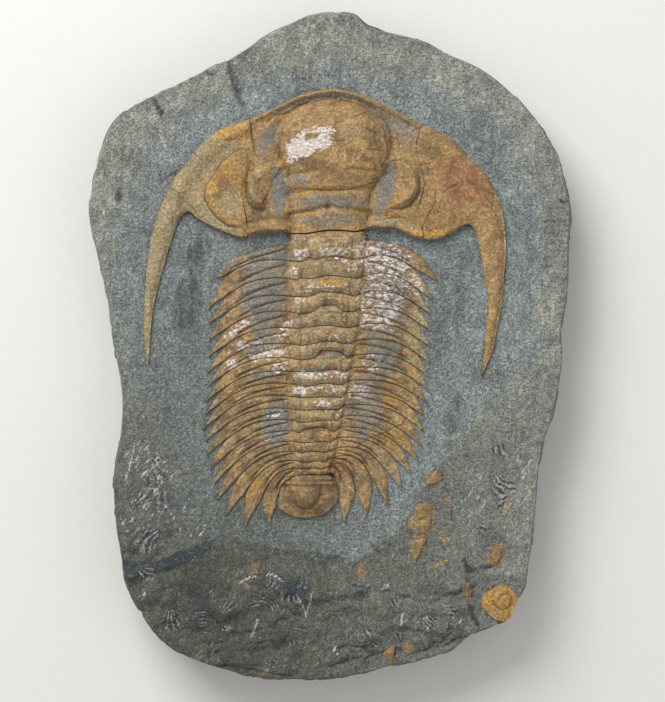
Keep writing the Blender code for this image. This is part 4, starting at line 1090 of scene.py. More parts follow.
def shell_stains(x, y):
    """Where the shell is stained, worn or scuffed at view points, each mask from 0 to 1."""
    drift = rough(x, y, *STAIN_DRIFT)
    soft_x = x + 3.0 * drift
    soft_y = y - 3.0 * drift
    crown = smooth_step(loop_distance(soft_x, soft_y, SCUFFED_CROWN) / 9 + 0.45)
    crown *= 1 - ovals(x, y, CROWN_HOLE)
    return {
        "umber": 0.42 + ovals(soft_x, soft_y, UMBER_PATCHES),
        "tan": strongest(
            ovals(soft_x, soft_y, TAN_PATCHES),
            # The eye lobes' crests are painted a paler tan: partly their own colour, partly painted highlight.
            strokes(soft_x, soft_y, (LEFT_EYE, RIGHT_EYE), 4.5) * 0.6,
            0.3,
        ),
        "red": ovals(soft_x, soft_y, RED_PATCHES),
        "bright": strongest(
            ovals(soft_x, soft_y, BRIGHT_PATCHES),
            strokes(x, y, OCHRE_LINES, 1.2) * (0.7 + 0.5 * drift),
            strokes(soft_x, y, AXIS_BANDS, 2.4) * 0.36,
        ),
        "grey": strongest(
            ovals(soft_x, soft_y, GREY_PATCHES),
            strokes(x, y, (FRONT_GROOVE,), 3.6) * 0.85,
        ),
        "scuff": strongest(
            ovals(soft_x, soft_y, SCUFF_PATCHES),
            crown,
            strokes(x, soft_y, SCUFFED_EDGES, 1.4) * 0.7,
        ),
        "dark": strokes(soft_x, y, THORAX_CRACKS, 0.8) * 0.75,
    }


# The rock plate


def outline_run(start, end, share):
    """Points of the plate's outline at shares of the way clockwise from one of its corners to another."""
    first, last = (np.argmin(np.hypot(*(FINE_OUTLINE - corner).T)) for corner in (start, end))
    count = len(FINE_OUTLINE)
    place_on = first + share * ((last - first) % count)
    index = np.floor(place_on).astype(int)
    rest = (place_on - index)[:, None]
    return blend(FINE_OUTLINE[index % count], FINE_OUTLINE[(index + 1) % count], rest)


def plate_points(u, v):
    """Spreads a square sheet evenly inside the plate's outline."""
    upper_left, upper_right, lower_right, lower_left = (np.array(corner) for corner in PLATE_CORNERS)
    top = outline_run(upper_left, upper_right, u)
    right = outline_run(upper_right, lower_right, 1 - v)
    bottom = outline_run(lower_right, lower_left, 1 - u)
    left = outline_run(lower_left, upper_left, v)
    u, v = u[:, None], v[:, None]
    corners = blend(blend(lower_left, lower_right, u), blend(upper_left, upper_right, u), v)
    return blend(bottom, top, v) + blend(left, right, u) - corners


def ledge_height(x, y, start, end, height):
    """A ledge steps up or down across its line and slopes back to the level beyond it."""
    run_x, run_y = end[0] - start[0], end[1] - start[1]
    length = math.hypot(run_x, run_y)
    share = ((x - start[0]) * run_x + (y - start[1]) * run_y) / length ** 2
    below = (run_x * (y - start[1]) - run_y * (x - start[0])) / length * math.copysign(1, run_x)
    ends = smooth_step(np.minimum(share, 1 - share) / 0.3 + 0.5)
    step = smooth_step(below / (2 * LEDGE_FACE) + 0.5)
    return height * ends * step * np.exp(-np.maximum(below, 0) / LEDGE_REACH)


def plumes(x, y):
    """The feathered marks: how strong they are, and the phase of the waves that fan out or arch there."""
    strength = np.zeros(np.shape(x))
    phase = np.zeros(np.shape(x))
    wobble = rough(x, y, *PLUME_WOBBLE)
    for centre_x, centre_y, inner, outer, turn, spread, rays, arches in PLUMES:
        out = np.hypot(x - centre_x, y - centre_y)
        angle = np.arctan2(y - centre_y, x - centre_x) - math.radians(turn)
        angle = (angle + math.pi) % (2 * math.pi) - math.pi
        across = smooth_step((math.radians(spread) - np.abs(angle)) / 0.4 + 0.3)
        here = across * smooth_step((out - inner) / 5) * smooth_step((outer - out) / 12)
        phase = np.where(here > strength, angle * rays + out * arches + wobble * 1.6, phase)
        strength = np.maximum(strength, here)
    return strength * smooth_step(0.75 + wobble), phase


def terraces(level):
    """Turns smooth hills into flat-topped steps, as bedded mudstone breaks."""
    whole = np.floor(level * TERRACE_STEPS)
    return (whole + smooth_step((level * TERRACE_STEPS - whole - 0.5) * 3.0 + 0.5)) / TERRACE_STEPS


def face_fields(x, y):
    """What the height and the stains of the plate's face both follow, at view points."""
    inside = loop_distance(x, y, BED_OUTLINE)
    grain = rough(x, y, *ROCK_GRAIN)
    scars = rough(x, y, *ROCK_SCARS)
    soft_x = x + 3 * grain
    soft_y = y + 3 * scars
    strength, phase = plumes(x, y)
    return SimpleNamespace(
        inside=inside,
        away=smooth_step(-inside / BED_FADE),
        lower=smooth_step((y - LOWER_START) / LOWER_FADE),
        crags=rough(x, y * CRAG_STRETCH, *CRAGS),
        grain=grain,
        scars=scars,
        soft_x=soft_x,
        soft_y=soft_y,
        cracks=strokes(soft_x, soft_y, ROCK_CRACKS, ROCK_CRACK_WIDTH),
        plume=strength,
        phase=phase,
    )


def face_height(x, y, relief, at):
    """The height of the plate's face: level on the bed, swollen, stepped and broken away from it."""
    height = blend(UPPER_RISE, LOWER_RISE, at.lower)
    height += lumps(x, y, *SWELLS) * FACE_SWELL
    height += lumps(x, y, *LUMPS) * FACE_SWELL * at.lower
    for ledge in LEDGES:
        height += ledge_height(x, y, *ledge)
    split = blend(at.crags, terraces(at.crags + 0.12 * rough(x, y, *CRAG_EDGES)), TERRACE_SHARE)
    height += relief.broken_rock * at.lower * (split - 0.5 * np.abs(at.crags))
    height *= at.away
    for centre, radius, level in PADS:
        share = smooth_step((np.hypot(x - centre[0], y - centre[1]) - radius) / PAD_SLOPE)
        height = blend(level, height, share)
    dents = smooth_step((at.scars - 0.35) / 0.3)
    height += relief.rock_grain * (at.grain * (0.7 + 1.3 * at.away) - 1.5 * dents)
    height += PLUME_DEPTH * at.plume * np.sin(at.phase) * at.away - ROCK_CRACK_DEPTH * at.cracks * at.away
    return BED_HEIGHT + height


def face_stains(x, y, at):
    """Where the plate's face is weathered, dark, flecked or stained, each mask from 0 to 1."""
    unprepared = smooth_step((10 - at.inside) / 40 + 0.3 * at.crags)
    softness = blend(9, 2.5, smooth_step((x - 230) / 90)) + 24 * smooth_step((x - 425) / 40)
    beyond = smooth_step(0.5 - loop_distance(at.soft_x, at.soft_y, PREPARED_EDGE) / softness)
    to_right = (x - SHADE_LEFT) / SHADE_WIDTH
    dimmer = np.clip((y - SHADE_TOP) / SHADE_HEIGHT, 0, 1.15) * (1 - 0.7 * np.clip(to_right, 0, 1))
    under_spines = smooth_step((loop_distance(x, y, (*TIPS_LEFT, *reversed(TIPS_RIGHT))) - 14) / 10)
    round_chips = [smooth_step(1 + loop_distance(at.soft_x, at.soft_y, chip) / 5) for chip, _ in FRAGMENTS]
    ochre_x = x + 1.2 * at.grain
    ochre_y = y + 1.2 * at.scars
    return {
        "upper": strongest(unprepared * (1 - at.lower), 0.9 * beyond),
        # Partly painted shade: darker down the face and lighter towards the right.
        "lower": strongest(dimmer * 0.76 + 0.06, beyond) * (1.0 - 0.65 * to_right ** 2),
        "dark": strongest(ovals(at.soft_x, at.soft_y, ROCK_DARK_PATCHES), 0.9 * at.cracks, 0.16),
        "pale": strongest(ovals(at.soft_x, at.soft_y, ROCK_PALE_PATCHES), 0.2),
        "vein": strokes(x + 0.6 * at.grain, y, ROCK_VEINS, 1.1),
        "ochre": strongest(
            0.62 * under_spines,
            0.75 * strongest(*round_chips),
            ovals(ochre_x, ochre_y, ROCK_OCHRE_PATCHES),
        ),
        "plume": at.plume * at.away,
        "plume_phase": at.phase / PHASE_RANGE + 0.5,
    }


def broken_sides(outline, height, depth, relief):
    """The places of the plate's broken sides, at depths from 0 at the rim to 1 at the underside."""
    side = place(*outline.T, height * (1 - depth))
    layered = side * (1, 1, WALL_LAYERS)
    breaks = np.array([noise.fractal(Vector(where) * WALL_BREAKS, 1.0, 2.0, 5) for where in layered])
    fade = smooth_step(depth / 0.16)
    inset = smooth_between(WALL_PROFILE, depth) + np.maximum(breaks + 0.3, 0) * relief.wall * fade
    side[:, :2] *= 1 - (inset / np.hypot(side[:, 0], side[:, 1]))[:, None]
    return side


def stain_sides(stains, depth, on_rim):
    """The face's stains give way to the broken sides' own, and the rim is paler where it is chipped."""
    for name, strength in WALL_STAINS.items():
        values = blend(stains[name], strength, smooth_step(depth / 0.1))
        stains[name] = np.where(depth > NEARLY_ONE, strength, values)
    chipped = np.where(on_rim, 1 - smooth_step(depth / 0.12), 0.0)
    stains["pale"] = np.maximum(stains["pale"], 0.5 * chipped)


def build_plate(relief):
    """The rock plate: its fossil face, the broken sides in rings below it and the flat underside."""
    bm, _, _ = grid(PLATE_COLUMNS, PLATE_ROWS)
    close_below(bm, [-ring / WALL_RINGS for ring in range(1, WALL_RINGS + 1)])
    shares = np.array([vert.co for vert in bm.verts])
    depth = -shares[:, 2]
    on_rim = np.abs(shares[:, :2]).max(axis=1) > NEARLY_ONE / 2
    outline = plate_points(shares[:, 0] + 0.5, shares[:, 1] + 0.5)
    face_scale = 1 - RIM_ROLL / (CAD_HIGH.y - CAD_LOW.y) * 2
    x, y = (VIEW_CENTRE + (outline - VIEW_CENTRE) * face_scale).T
    at = face_fields(x, y)
    height = face_height(x, y, relief, at)
    height = np.where(on_rim, height - RIM_DROP, height)
    side = broken_sides(outline, height, depth, relief)
    move_to(bm, np.where((depth > 0)[:, None], side, place(x, y, height)))
    stains = face_stains(x, y, at)
    stain_sides(stains, depth, on_rim)
    store(bm, stains)
    return finish_piece(bm, "matrix_slab", rock_material(), 46.0)


# The head


def glabella_share(x, y):
    """How far across the glabella view points lie, from -1 at its left edge to 1 at its right."""
    left = smooth_between(GLABELLA_LEFT, y)
    right = smooth_between(GLABELLA_RIGHT, y)
    return (2 * x - left - right) / (right - left)


def head_swelling(y, across, relief):
    """The glabella's dome, the furrow round it and the fixed cheeks beside it."""
    cheek = relief.cheek * (0.72 + 0.28 * smooth_step((y - 120) / 50))
    furrow = FURROW_LEVEL * cheek
    dome = (1 - np.minimum(across, 1) ** GLABELLA_FLATNESS) ** GLABELLA_FLANKS
    glabella = blend(furrow, relief.glabella * smooth_between(GLABELLA_PROFILE, y), dome)
    return np.where(across < 1, glabella, blend(furrow, cheek, smooth_step((across - 1) * 5)))


def eye_lobes(x, y, relief):
    """The eye lobes, higher to the rear and steep on the outer side, and the hollows inside them."""
    height = -EYE_HOLLOW_DEPTH * ovals(x, y, EYE_HOLLOWS)
    knob = 0.62 + 0.5 * smooth_step((y - 168) / 32)
    for lobe in (LEFT_EYE, RIGHT_EYE):
        slope = np.where(loop_distance(x, y, lobe) > 0, *EYE_WIDTHS)
        height += relief.eye * knob * bump(chain_distance(x, y, lobe), slope)
    return height


def build_cranidium(relief):
    """The head's middle plate, from one facial suture to the other."""
    bm, u, v = grid(*CRANIDIUM_CELLS)
    gap = SUTURE_GAP / METRES_PER_POINT
    left = smooth_between(LEFT_SUTURE, blend(*LEFT_SUTURE_ENDS, v)) + gap
    right = smooth_between(RIGHT_SUTURE, blend(*RIGHT_SUTURE_ENDS, v)) - gap
    x = blend(left, right, u)
    front = smooth_between(FRONT_MARGIN, x)
    rear = smooth_between(REAR_MARGIN, x)
    y = blend(rear, front, v)
    from_rear = rear - y
    across = np.abs(glabella_share(x, y))
    on_glabella = (across < 1).astype(float)
    wobble = rough(x, y, *HEAD_WOBBLE)
    height = head_swelling(y, across, relief) + eye_lobes(x, y, relief)
    for start, end, depth in GLABELLA_FURROWS:
        height -= depth * bump(line_distance(x, y + wobble, start, end), FURROW_WIDTH)
    height += relief.head_rim * bump(y - front - RIM_INSET, RIM_WIDTH)
    rear_border = bump(from_rear - REAR_BORDER_WIDTH, REAR_BORDER_WIDTH)
    rear_furrow = bump(from_rear - 3 * REAR_BORDER_WIDTH, REAR_BORDER_WIDTH)
    height += relief.posterior * (1 - on_glabella) * (rear_border - rear_furrow)
    on_crown = on_glabella * smooth_step((CROWN_REAR - y) / 20)
    wrinkles = np.sin((1 - across) * 46 + wobble * 3 + y / 9) * smooth_step((across - 0.45) / 0.3)
    height += WRINKLE_HEIGHT * wrinkles * on_crown + GLABELLA_SWELL * wobble * on_glabella
    # Lines cut into the head: where they are, their depth in metres and how dark they are painted. The eye
    # lobes' shadow lines and the line before the glabella are painted shadow.
    cuts = (
        (strokes(x, y, (LEFT_EYE_SHADOW, RIGHT_EYE_SHADOW), 1.8), 0.0007, 0.6),
        (strokes(x, y + 0.5 * wobble, (GLABELLA_FRONT,), 1.3), 0.0004, 0.55 * smooth_step(0.8 + wobble)),
        (strokes(x, y, (FRONT_GROOVE,), 3.0), 0.0004, 0.0),
        (strokes(x + wobble, y, WRINKLES, 0.8), 0.0003, 0.55),
        (strokes(x, y, HEAD_CRACKS, HEAD_CRACK_WIDTH), HEAD_CRACK_DEPTH, 0.65),
        (strokes(x, y + wobble, GLABELLA_NICKS, 1.4), 0.0, 0.5),
    )
    height -= sum(depth * line for line, depth, _ in cuts)
    # Painted darker: the lines above, the rear furrow, the troughs of the crown's wrinkles and the glabella's
    # edge.
    dirt_and_shade = strongest(
        *(darkness * line for line, _, darkness in cuts),
        0.3 * bump(from_rear - 11, 1.4) * (1 - on_glabella),
        0.4 * smooth_step((wrinkles - 0.3) / 0.5) * on_crown,
        0.35 * bump(across - 1.02, 0.03),
    )
    to_rear = from_rear / np.where(across < 1, 0.8, 3.0)
    edge = smooth_step(0.25 + np.minimum((y - front) / 3.0, to_rear))
    height = blend(relief.shell_edge, np.maximum(height, relief.shell_edge), edge)
    return shell_piece("cranidium", bm, x, y, BASE + height, {"dark": dirt_and_shade}, BASE)


def rib_ends(ribs, share):
    """The outer and inner ends of the ribs at shares of the way along a row of ribs."""
    ribs = np.array(ribs, dtype=float)
    place_on = share * (len(ribs) - 1)
    index = np.minimum(place_on.astype(int), len(ribs) - 2)
    corners = [ribs[np.clip(index + step, 0, len(ribs) - 1)] for step in (-1, 0, 1, 2)]
    ends = catmull_rom(*corners, (place_on - index)[:, None, None])
    return ends[:, 0], ends[:, 1]


def left_cheek_field(x, y):
    """The left cheek is olive tan outside its raised inner field, whose edge is a dark line inside a bright
    rim."""
    field = loop_distance(x, y, LEFT_FIELD)
    raised = FIELD_STEP * smooth_step(field / 5 + 0.5) - FIELD_GROOVE * bump(field, 1.6)
    olive = smooth_step(-field / 3 + 0.2) * smooth_step((246 - x) / 16)
    olive *= 0.7 + 0.3 * smooth_step((y - 190) / 40)
    masks = {
        "dark": 0.72 * bump(field, 1.0) * smooth_step((244 - x) / 4),
        "tan": blend(0.3, 0.95, olive),
        "bright": 0.5 * bump(field - 6, 5.0) * smooth_step((y - 160) / 20),
    }
    return raised, masks


def right_cheek_field(x, y):
    """The right cheek has no raised field."""
    return 0.0, {"dark": 0.0}


def build_cheek(relief, node, ribs, field_at):
    """A free cheek with its raised border, drawn out into the genal spine."""
    bm, u, v = grid(*CHEEK_CELLS)
    suture_share = SUTURE_RIBS / (len(ribs) - 1)
    spine_share = SPINE_RIBS / (len(ribs) - 1)
    outer, inner = rib_ends(ribs, u)
    x, y = blend(outer, inner, v[:, None]).T
    width = np.hypot(*(outer - inner).T)
    border = v * width
    field = relief.cheek * (0.86 + 0.14 * np.sin(math.pi * v))
    field += relief.head_rim * bump(border - BORDER_WIDTH / 2, 7.0)
    field -= relief.head_rim * 0.08 * bump(border - BORDER_WIDTH, 4.0)
    ridge = relief.genal_spine * np.sin(math.pi * v) ** 0.6 * smooth_step(width / 16 + 0.15)
    to_spine = smooth_step((u - spine_share + 0.2) / 0.4)
    from_edge = np.where(u < suture_share, v, np.minimum(v, 1 - v)) * width
    height = blend(relief.shell_edge, blend(field, ridge, to_spine), smooth_step(0.3 + from_edge / 3))
    raised, masks = field_at(x, y)
    cracks = strokes(x, y, HEAD_CRACKS, HEAD_CRACK_WIDTH)
    height += raised - HEAD_CRACK_DEPTH * cracks + CHEEK_SWELL * rough(x, y, *CHEEK_SWELLS)
    # Painted shade along the cheek's edges, fainter along its spine.
    edge_shade = blend(0.35, 0.16, to_spine) * bump(from_edge, 1.0)
    masks["dark"] = strongest(masks["dark"], 0.65 * cracks, edge_shade)
    return shell_piece(node, bm, x, y, BASE + np.maximum(height, relief.spine_tip), masks, BASE)


# The thorax


def seam_point(start, middle, end, share):
    """The points at shares of the way along a seam: a curve from the axis, through its bend, to its end."""
    share = share[:, None]
    rest = 1 - BEND_SHARE
    control = (middle - start * rest ** 2 - end * BEND_SHARE ** 2) / (2 * BEND_SHARE * rest)
    return start * (1 - share) ** 2 + control * (2 * share * (1 - share)) + end * share ** 2


def seam_ends(tips):
    """Where the seams end: between neighbouring tips, and part of a step past the first and last."""
    points = np.array(tips, dtype=float)
    first = points[0] + (points[0] - points[1]) * END_STEP
    last = points[-1] + (points[-1] - points[-2]) * END_STEP
    return np.vstack((first, blend(points[:-1], points[1:], 1 - TIP_BIAS), last))


def pleura_points(side, index, along, across):
    """The view points of a pleura: along from the axis to the tip, across from its front seam to its rear."""
    roots, bends, tips, ends = side
    front = seam_point(roots[index], bends[index], ends[index], along)
    rear = seam_point(roots[index + 1], bends[index + 1], ends[index + 1], along)
    width = np.hypot(*(rear - front).T)
    near = np.minimum(HALF_GAP / np.maximum(width, HALF_GAP * 3), 0.3)
    free = (np.maximum(along - SPINE_START, 0) / (1 - SPINE_START)) ** SPINE_THINNING
    start = blend(near, TIP_BIAS, free)
    stop = blend(1 - near, TIP_BIAS, free)
    points = blend(front, rear, blend(start, stop, across)[:, None])
    outward = np.sign(bends[index][0] - roots[index][0])
    points[:, 0] += outward * NODE_BULGE * np.sin(math.pi * across) * (1 - smooth_step(along / 0.1))
    return blend(points, tips[index], along[:, None] ** 8)


def pleura_surface(relief, index, along, across):
    """A pleura's height and how dark it is painted: a low vault with fine ribs and a slanting furrow, thin at
    its tip. The dark along its seams is partly grime and partly painted shade in place of the shadowed gap;
    its furrow and the troughs between its ribs are painted darker.
    """
    rise = blend(relief.pleura, relief.spine_tip, smooth_step((along - 0.3) / 0.5))
    rise = rise * (1.0 - 0.25 * index / (SEGMENTS - 1))
    flatness = blend(0.84, 0.62, smooth_step((along - 0.4) / 0.4))
    vault = blend(flatness, 1.0, np.sin(math.pi * np.clip(across, 0, 1)) ** 0.7)
    from_furrow = across - (FURROW_FROM + FURROW_SLANT * (along / FURROW_LENGTH) ** 0.7)
    reach = (1 - smooth_step((along - 0.52) / 0.2)) * smooth_step(along / 0.05)
    ribs = np.sin(across * 17 + along * 5 + index * 2.1) * smooth_step((along - 0.15) / 0.3)
    height = rise * (vault + 0.08 * ribs) - relief.pleural_furrow * bump(from_furrow, FURROW_SHARE) * reach
    dirt_and_shade = strongest(
        0.8 * bump(from_furrow, 0.055) * reach,
        0.5 * bump(across, 0.05),
        0.5 * bump(across - 1, 0.05),
        0.3 * smooth_step(-ribs) * smooth_step(0.9 - along),
    )
    return blend(relief.axial_furrow, height, smooth_step(along / 0.06)), dirt_and_shade


def ring_wave(row, along):
    """How far a seam bows towards the head, at shares of the way along it from left to right."""
    rises = RING_WAVES[row]
    return smooth_between([(step / (len(rises) - 1), rise) for step, rise in enumerate(rises)], along)


def ring_points(index, along, across):
    """The view points of an axial ring: along from the left furrow to the right, across from front to
    rear."""
    rows = []
    for row in (index, index + 1):
        middle = blend(np.array(AXIS_LEFT[row]), np.array(AXIS_RIGHT[row]), along[:, None])
        middle[:, 1] -= ring_wave(row, along)
        rows.append(middle)
    front, rear = rows
    near = HALF_GAP / np.hypot(*(rear - front).T)
    points = blend(front, rear, blend(near, 1 - near, across)[:, None])
    points[:, 0] += NODE_BULGE * np.sin(math.pi * across) * (2 * along - 1) ** 5
    return points


def ring_surface(relief, index, along, across, y):
    """A ring's height and how dark it is painted: a broad arch with a node at each end, parted from it by a
    curved line, and a furrow behind its front edge wherever the seam bows forward past it. Its seams are
    painted dark, partly as grime and partly as shade, most along its rear edge, whose drop is painted as in
    shade; its ends are painted shade in the axial furrows, darkest at the seams."""
    rise = blend(relief.front_ring, relief.rear_ring, index / (SEGMENTS - 1))
    arch = np.sin(math.pi * np.clip(along, 0, 1)) ** 0.5
    slope = blend(0.80, 1.0, smooth_step(across / 0.4)) - 0.20 * smooth_step((across - 0.62) / 0.38)
    bulge = np.sin(math.pi * across)
    from_end = np.minimum(along, 1 - along)
    node_line = bump(from_end - 0.15 - 0.02 * bulge, 0.02) * smooth_step(across / 0.4)
    nodes = NODE_HEIGHT * bump(from_end - 0.08, 0.06) * bulge
    straight = blend(AXIS_LEFT[index][1], AXIS_RIGHT[index][1], along)
    bowed = smooth_step((ring_wave(index, along) + 1.2) / 2.5) * smooth_step((from_end - 0.16) / 0.1)
    furrow = bump(y - straight - 2.2, 1.1) * bowed
    height = blend(relief.axial_furrow, rise * slope, arch) + nodes
    height -= NODE_LINE_DEPTH * node_line + RING_FURROW_DEPTH * furrow
    dirt_and_shade = strongest(
        0.4 * bump(across, 0.06),
        0.62 * bump(across - 1, 0.08),
        0.55 * node_line,
        0.42 * furrow,
        0.5 * bump(from_end, 0.03) * (0.4 + 0.6 * smooth_step((np.abs(across - 0.5) - 0.2) / 0.3)),
    )
    return height, dirt_and_shade


def build_segment(relief, index, sides):
    """One thoracic segment: its axial ring between two pleurae that end in backward spines."""
    columns = 2 * PLEURA_COLUMNS + RING_COLUMNS
    bm, u, v = grid(columns, SEGMENT_ROWS)
    column = np.rint(u * columns)
    across = 1 - v
    points = np.zeros((len(u), 2))
    height = np.zeros(len(u))
    dirt_and_shade = np.zeros(len(u))
    on_left = column < PLEURA_COLUMNS
    on_right = column > PLEURA_COLUMNS + RING_COLUMNS
    on_ring = ~(on_left | on_right)
    left_along = 1 - column / PLEURA_COLUMNS
    right_along = (column - PLEURA_COLUMNS - RING_COLUMNS) / PLEURA_COLUMNS
    for part, side, along in ((on_left, sides[0], left_along), (on_right, sides[1], right_along)):
        points[part] = pleura_points(side, index, along[part], across[part])
        height[part], dirt_and_shade[part] = pleura_surface(relief, index, along[part], across[part])
    along = (column[on_ring] - PLEURA_COLUMNS) / RING_COLUMNS
    points[on_ring] = ring_points(index, along, across[on_ring])
    height[on_ring], dirt_and_shade[on_ring] = ring_surface(relief, index, along, across[on_ring], points[on_ring, 1])
    x, y = points.T
    height += SEGMENT_SWELL * rough(x, y, *SEGMENT_SWELLS)
    worn = 0.2 if index < WORN_RINGS else 0.06
    masks = {
        "dark": dirt_and_shade,
        "scuff": np.where(on_ring, worn, 0.06),
        "tan": np.maximum(np.where(on_ring, 2.6 * worn, 0.3), 0.85 * bump(across - 0.78, 0.11)),
        "umber": 0.7,
    }
    return shell_piece(f"thoracic_segment_{index + 1:02d}", bm, x, y, BASE + height, masks, BASE)


# The tail, the small shell and the fragments


def joined(share):
    """Shares of a turn with the last taken back to the first, where a round sheet's two ends meet."""
    return np.where(share > NEARLY_ONE, 0.0, share)


def round_sheet(cells, centre, outline):
    """A round sheet from a centre out to a smooth outline, and how far out its corners lie."""
    bm, u, v = grid(*cells)
    rim = along_loop(outline, joined(u))
    x, y = blend(np.array(centre, dtype=float), rim, v[:, None]).T
    return bm, x, y, v


def build_pygidium(relief):
    """The small tail plate with its rounded boss."""
    bm, x, y, out = round_sheet(PYGIDIUM_CELLS, PYGIDIUM_CENTRE, PYGIDIUM_OUTLINE)
    stretch = np.where(y < BOSS_CENTRE[1], BOSS_STRETCH, 1.0)
    boss = np.hypot(x - BOSS_CENTRE[0], (y - BOSS_CENTRE[1]) * stretch) / BOSS_RADIUS
    boss_groove_and_shade = strokes(x, y, (BOSS_SHADE,), 2.2)
    margin = strokes(x, y, (TAIL_MARGIN,), 1.6)
    furrows = np.sin((y - TAIL_FURROW_START) * 1.25) * smooth_step((TAIL_FRONT - y) / 4)
    height = relief.pygidium * (1 - 0.55 * smooth_step((out - 0.5) / 0.5))
    height += TAIL_FRONT_RISE * smooth_step((TAIL_FRONT - y) / 9)
    height += relief.boss * np.cos(np.minimum(boss, 1.15) / 1.15 * math.pi / 2) ** 1.3
    height += TAIL_FURROW_HEIGHT * furrows + TAIL_SWELL * rough(x, y, *TAIL_SWELLS)
    height -= BOSS_GROOVE_DEPTH * boss_groove_and_shade + TAIL_MARGIN_DEPTH * margin
    masks = {
        # The groove along the boss's lower side is painted dark as the boss's shade.
        "dark": strongest(0.62 * boss_groove_and_shade, 0.25 * margin, 0.3 * smooth_step(-furrows - 0.3)),
        "tan": 0.4 * bump(out - 0.9, 0.1),
        "umber": 1.0,
    }
    return shell_piece("pygidium", bm, x, y, BASE + height, masks, BASE)


def build_small_shell(relief):
    """The small round shell: a low cap with growth lines and a curled boss off its middle."""
    bm, x, y, out = round_sheet(SMALL_SHELL_CELLS, SMALL_SHELL_CENTRE, SMALL_SHELL_OUTLINE)
    floor = BASE + PADS[0][2]
    from_boss = x - SMALL_SHELL_BOSS[0], y - SMALL_SHELL_BOSS[1]
    boss = np.hypot(*from_boss) / SMALL_BOSS_RADIUS
    angle = np.arctan2(from_boss[1], from_boss[0])
    curl = bump(boss - 0.85 - 0.12 * angle, 0.16)
    growth = np.sin(out * 26 + rough(x, y, *GROWTH_WOBBLE)) * smooth_step((out - 0.3) / 0.3)
    cap = relief.shell_edge + (relief.small_shell - relief.shell_edge) * np.cos(out * math.pi / 2)
    height = cap + SMALL_BOSS_HEIGHT * bump(boss, 0.6)
    height += GROWTH_LINE_HEIGHT * growth - SMALL_BOSS_GROOVE_DEPTH * curl
    masks = {
        "bright": 0.6,
        "dark": 0.5 * curl,
        "tan": 0.5 * bump(out - 0.95, 0.10),
        "umber": 0.6,
        "grey": 0.35 * bump(boss, 0.5) + 0.4 * bump(out - 1, 0.08),
    }
    return shell_piece("small_shell", bm, x, y, floor + height, masks, floor)


def build_fragment(relief, number, outline, level):
    """A thin chip of shell, rounded off at its edge."""
    bm, u, v = grid(*FRAGMENT_CELLS)
    corners = np.array(outline, dtype=float)
    shares = joined(u) * len(corners)
    index = shares.astype(int)
    rim = blend(corners[index % len(corners)], corners[(index + 1) % len(corners)], (shares - index)[:, None])
    ragged = 1 - 0.12 * smooth_step(rough(*rim.T, *CHIPPED_EDGE) + 0.5)
    x, y = blend(corners.mean(axis=0), rim, (v * ragged)[:, None]).T
    floor = BASE + level
    height = relief.fragment * (1 - 0.6 * smooth_step((v - 0.6) / 0.4))
    height += FRAGMENT_SWELL * rough(x, y, *FRAGMENT_SWELLS)
    masks = {"bright": 0.25, "umber": 0.8, "tan": 0.42, "grey": 0.7 * smooth_step((v - 0.72) / 0.28)}
    return shell_piece(f"shell_fragment_{number}", bm, x, y, floor + height, masks, floor)


# The stage


def lay_floor(scene):
    """A wide plain floor at the level of the plate's underside."""
    bm, _, _ = grid(1, 1)
    bmesh.ops.scale(bm, verts=bm.verts, vec=(6.0, 6.0, 1.0))
    mesh = bpy.data.meshes.new("floor")
    bm.to_mesh(mesh)
    bm.free()
    mesh.materials.append(floor_material())
    floor = bpy.data.objects.new("floor", mesh)
    scene.collection.objects.link(floor)


def soft_light(scene, name, where, size, power):
    """A large square light that faces the middle of the plate."""
    data = bpy.data.lights.new(name, "AREA")
    data.shape = "SQUARE"
    data.size = size
    data.energy = power
    lamp = bpy.data.objects.new(name, data)
    lamp.location = where
    lamp.rotation_euler = (-Vector(where)).to_track_quat("-Z", "Y").to_euler()
    scene.collection.objects.link(lamp)


def even_sky(scene, strength):
    """White light from all round."""
    world = bpy.data.worlds.new("even_light")
    world.use_nodes = True
    background = world.node_tree.nodes["Background"]
    background.inputs["Color"].default_value = (1.0, 1.0, 1.0, 1.0)
    background.inputs["Strength"].default_value = strength
    scene.world = world


def look_down(scene, lens):
    """The camera looks straight down, so far up that the reference view just fills the picture."""
    data = bpy.data.cameras.new("camera")
    data.lens = lens
    data.clip_end = 20.0
    camera = bpy.data.objects.new("camera", data)
    distance = lens / data.sensor_width * max(VIEW_SIZE) * METRES_PER_POINT
    middle = place(np.array([VIEW_SIZE[0] / 2]), np.array([VIEW_SIZE[1] / 2]), VIEW_LEVEL)[0]
    camera.location = Vector(middle) + Vector((0.0, 0.0, distance))
    scene.collection.objects.link(camera)
    scene.camera = camera


# Operators


class FOSSIL_OT_plate(Operator):
    """Models the mudstone plate"""

    bl_idname = "fossil.plate"
    bl_label = "Rock plate"

    def execute(self, context):
        build_plate(context.scene.fossil_relief)
        return {"FINISHED"}


class FOSSIL_OT_head(Operator):
    """Models the head: its middle plate and the two free cheeks"""

    bl_idname = "fossil.head"
    bl_label = "Head"

    def execute(self, context):
        relief = context.scene.fossil_relief
        build_cranidium(relief)
        build_cheek(relief, "left_free_cheek", LEFT_CHEEK_RIBS, left_cheek_field)
        build_cheek(relief, "right_free_cheek", RIGHT_CHEEK_RIBS, right_cheek_field)
        return {"FINISHED"}


class FOSSIL_OT_thorax(Operator):
    """Models the eighteen segments of the thorax"""

    bl_idname = "fossil.thorax"
    bl_label = "Thorax"

    def execute(self, context):
        lines = (
            ((FIRST_ROOTS[0], *AXIS_LEFT[1:]), BEND_LEFT, TIPS_LEFT),
            ((FIRST_ROOTS[1], *AXIS_RIGHT[1:]), BEND_RIGHT, TIPS_RIGHT),
        )
        sides = [(*(np.array(line, dtype=float) for line in side), seam_ends(side[2])) for side in lines]
        for index in range(SEGMENTS):
            build_segment(context.scene.fossil_relief, index, sides)
        return {"FINISHED"}


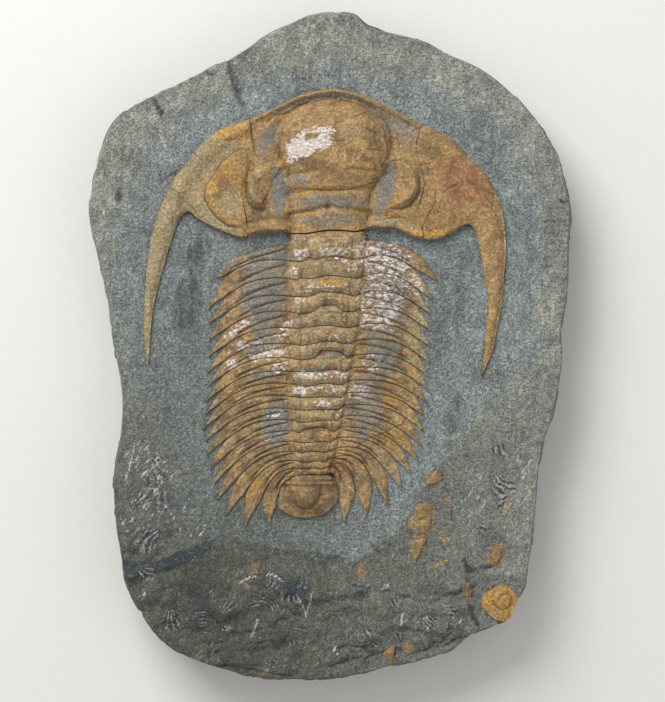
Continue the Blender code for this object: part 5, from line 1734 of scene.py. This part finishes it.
class FOSSIL_OT_tail(Operator):
    """Models the tail plate"""

    bl_idname = "fossil.tail"
    bl_label = "Tail plate"

    def execute(self, context):
        build_pygidium(context.scene.fossil_relief)
        return {"FINISHED"}


class FOSSIL_OT_loose_shells(Operator):
    """Models the small round shell and the loose fragments"""

    bl_idname = "fossil.loose_shells"
    bl_label = "Loose shells"

    def execute(self, context):
        relief = context.scene.fossil_relief
        build_small_shell(relief)
        for number, (outline, level) in enumerate(FRAGMENTS, start=1):
            build_fragment(relief, number, outline, level)
        return {"FINISHED"}


class FOSSIL_OT_stage(Operator):
    """Sets up the floor, the soft light and the camera that looks straight down"""

    bl_idname = "fossil.stage"
    bl_label = "Stage"

    def execute(self, context):
        scene = context.scene
        settings = scene.fossil_stage
        lay_floor(scene)
        soft_light(scene, "key_light", (-0.45, 0.75, 0.75), 0.7, settings.key_power)
        soft_light(scene, "fill_light", (0.8, -0.5, 0.9), 0.9, settings.fill_power)
        even_sky(scene, settings.sky)
        look_down(scene, settings.lens)
        scene.view_settings.view_transform = "Standard"
        return {"FINISHED"}


class FOSSIL_PT_pieces(Panel):
    """The sidebar's list of pieces and settings"""

    bl_label = "Trilobite Fossil Plate"
    bl_space_type = "VIEW_3D"
    bl_region_type = "UI"
    bl_category = "Fossil"

    def draw(self, context):
        column = self.layout.column()
        for operator in PIECES:
            column.operator(operator.bl_idname)
        for name in SETTINGS:
            group = getattr(context.scene, name)
            column.separator()
            for setting in group.__annotations__:
                column.prop(group, setting)


SETTINGS = {"fossil_relief": FossilRelief, "fossil_colours": FossilColours, "fossil_stage": FossilStage}
PIECES = (
    FOSSIL_OT_plate,
    FOSSIL_OT_head,
    FOSSIL_OT_thorax,
    FOSSIL_OT_tail,
    FOSSIL_OT_loose_shells,
    FOSSIL_OT_stage,
)


def register():
    for item in (*SETTINGS.values(), *PIECES, FOSSIL_PT_pieces):
        bpy.utils.register_class(item)
    for name, group in SETTINGS.items():
        setattr(bpy.types.Scene, name, PointerProperty(type=group))


def unregister():
    for name in SETTINGS:
        delattr(bpy.types.Scene, name)
    for item in reversed((*SETTINGS.values(), *PIECES, FOSSIL_PT_pieces)):
        bpy.utils.unregister_class(item)


def main():
    register()
    bpy.ops.fossil.plate()
    bpy.ops.fossil.head()
    bpy.ops.fossil.thorax()
    bpy.ops.fossil.tail()
    bpy.ops.fossil.loose_shells()
    bpy.ops.fossil.stage()


if __name__ == "__main__":
    main()
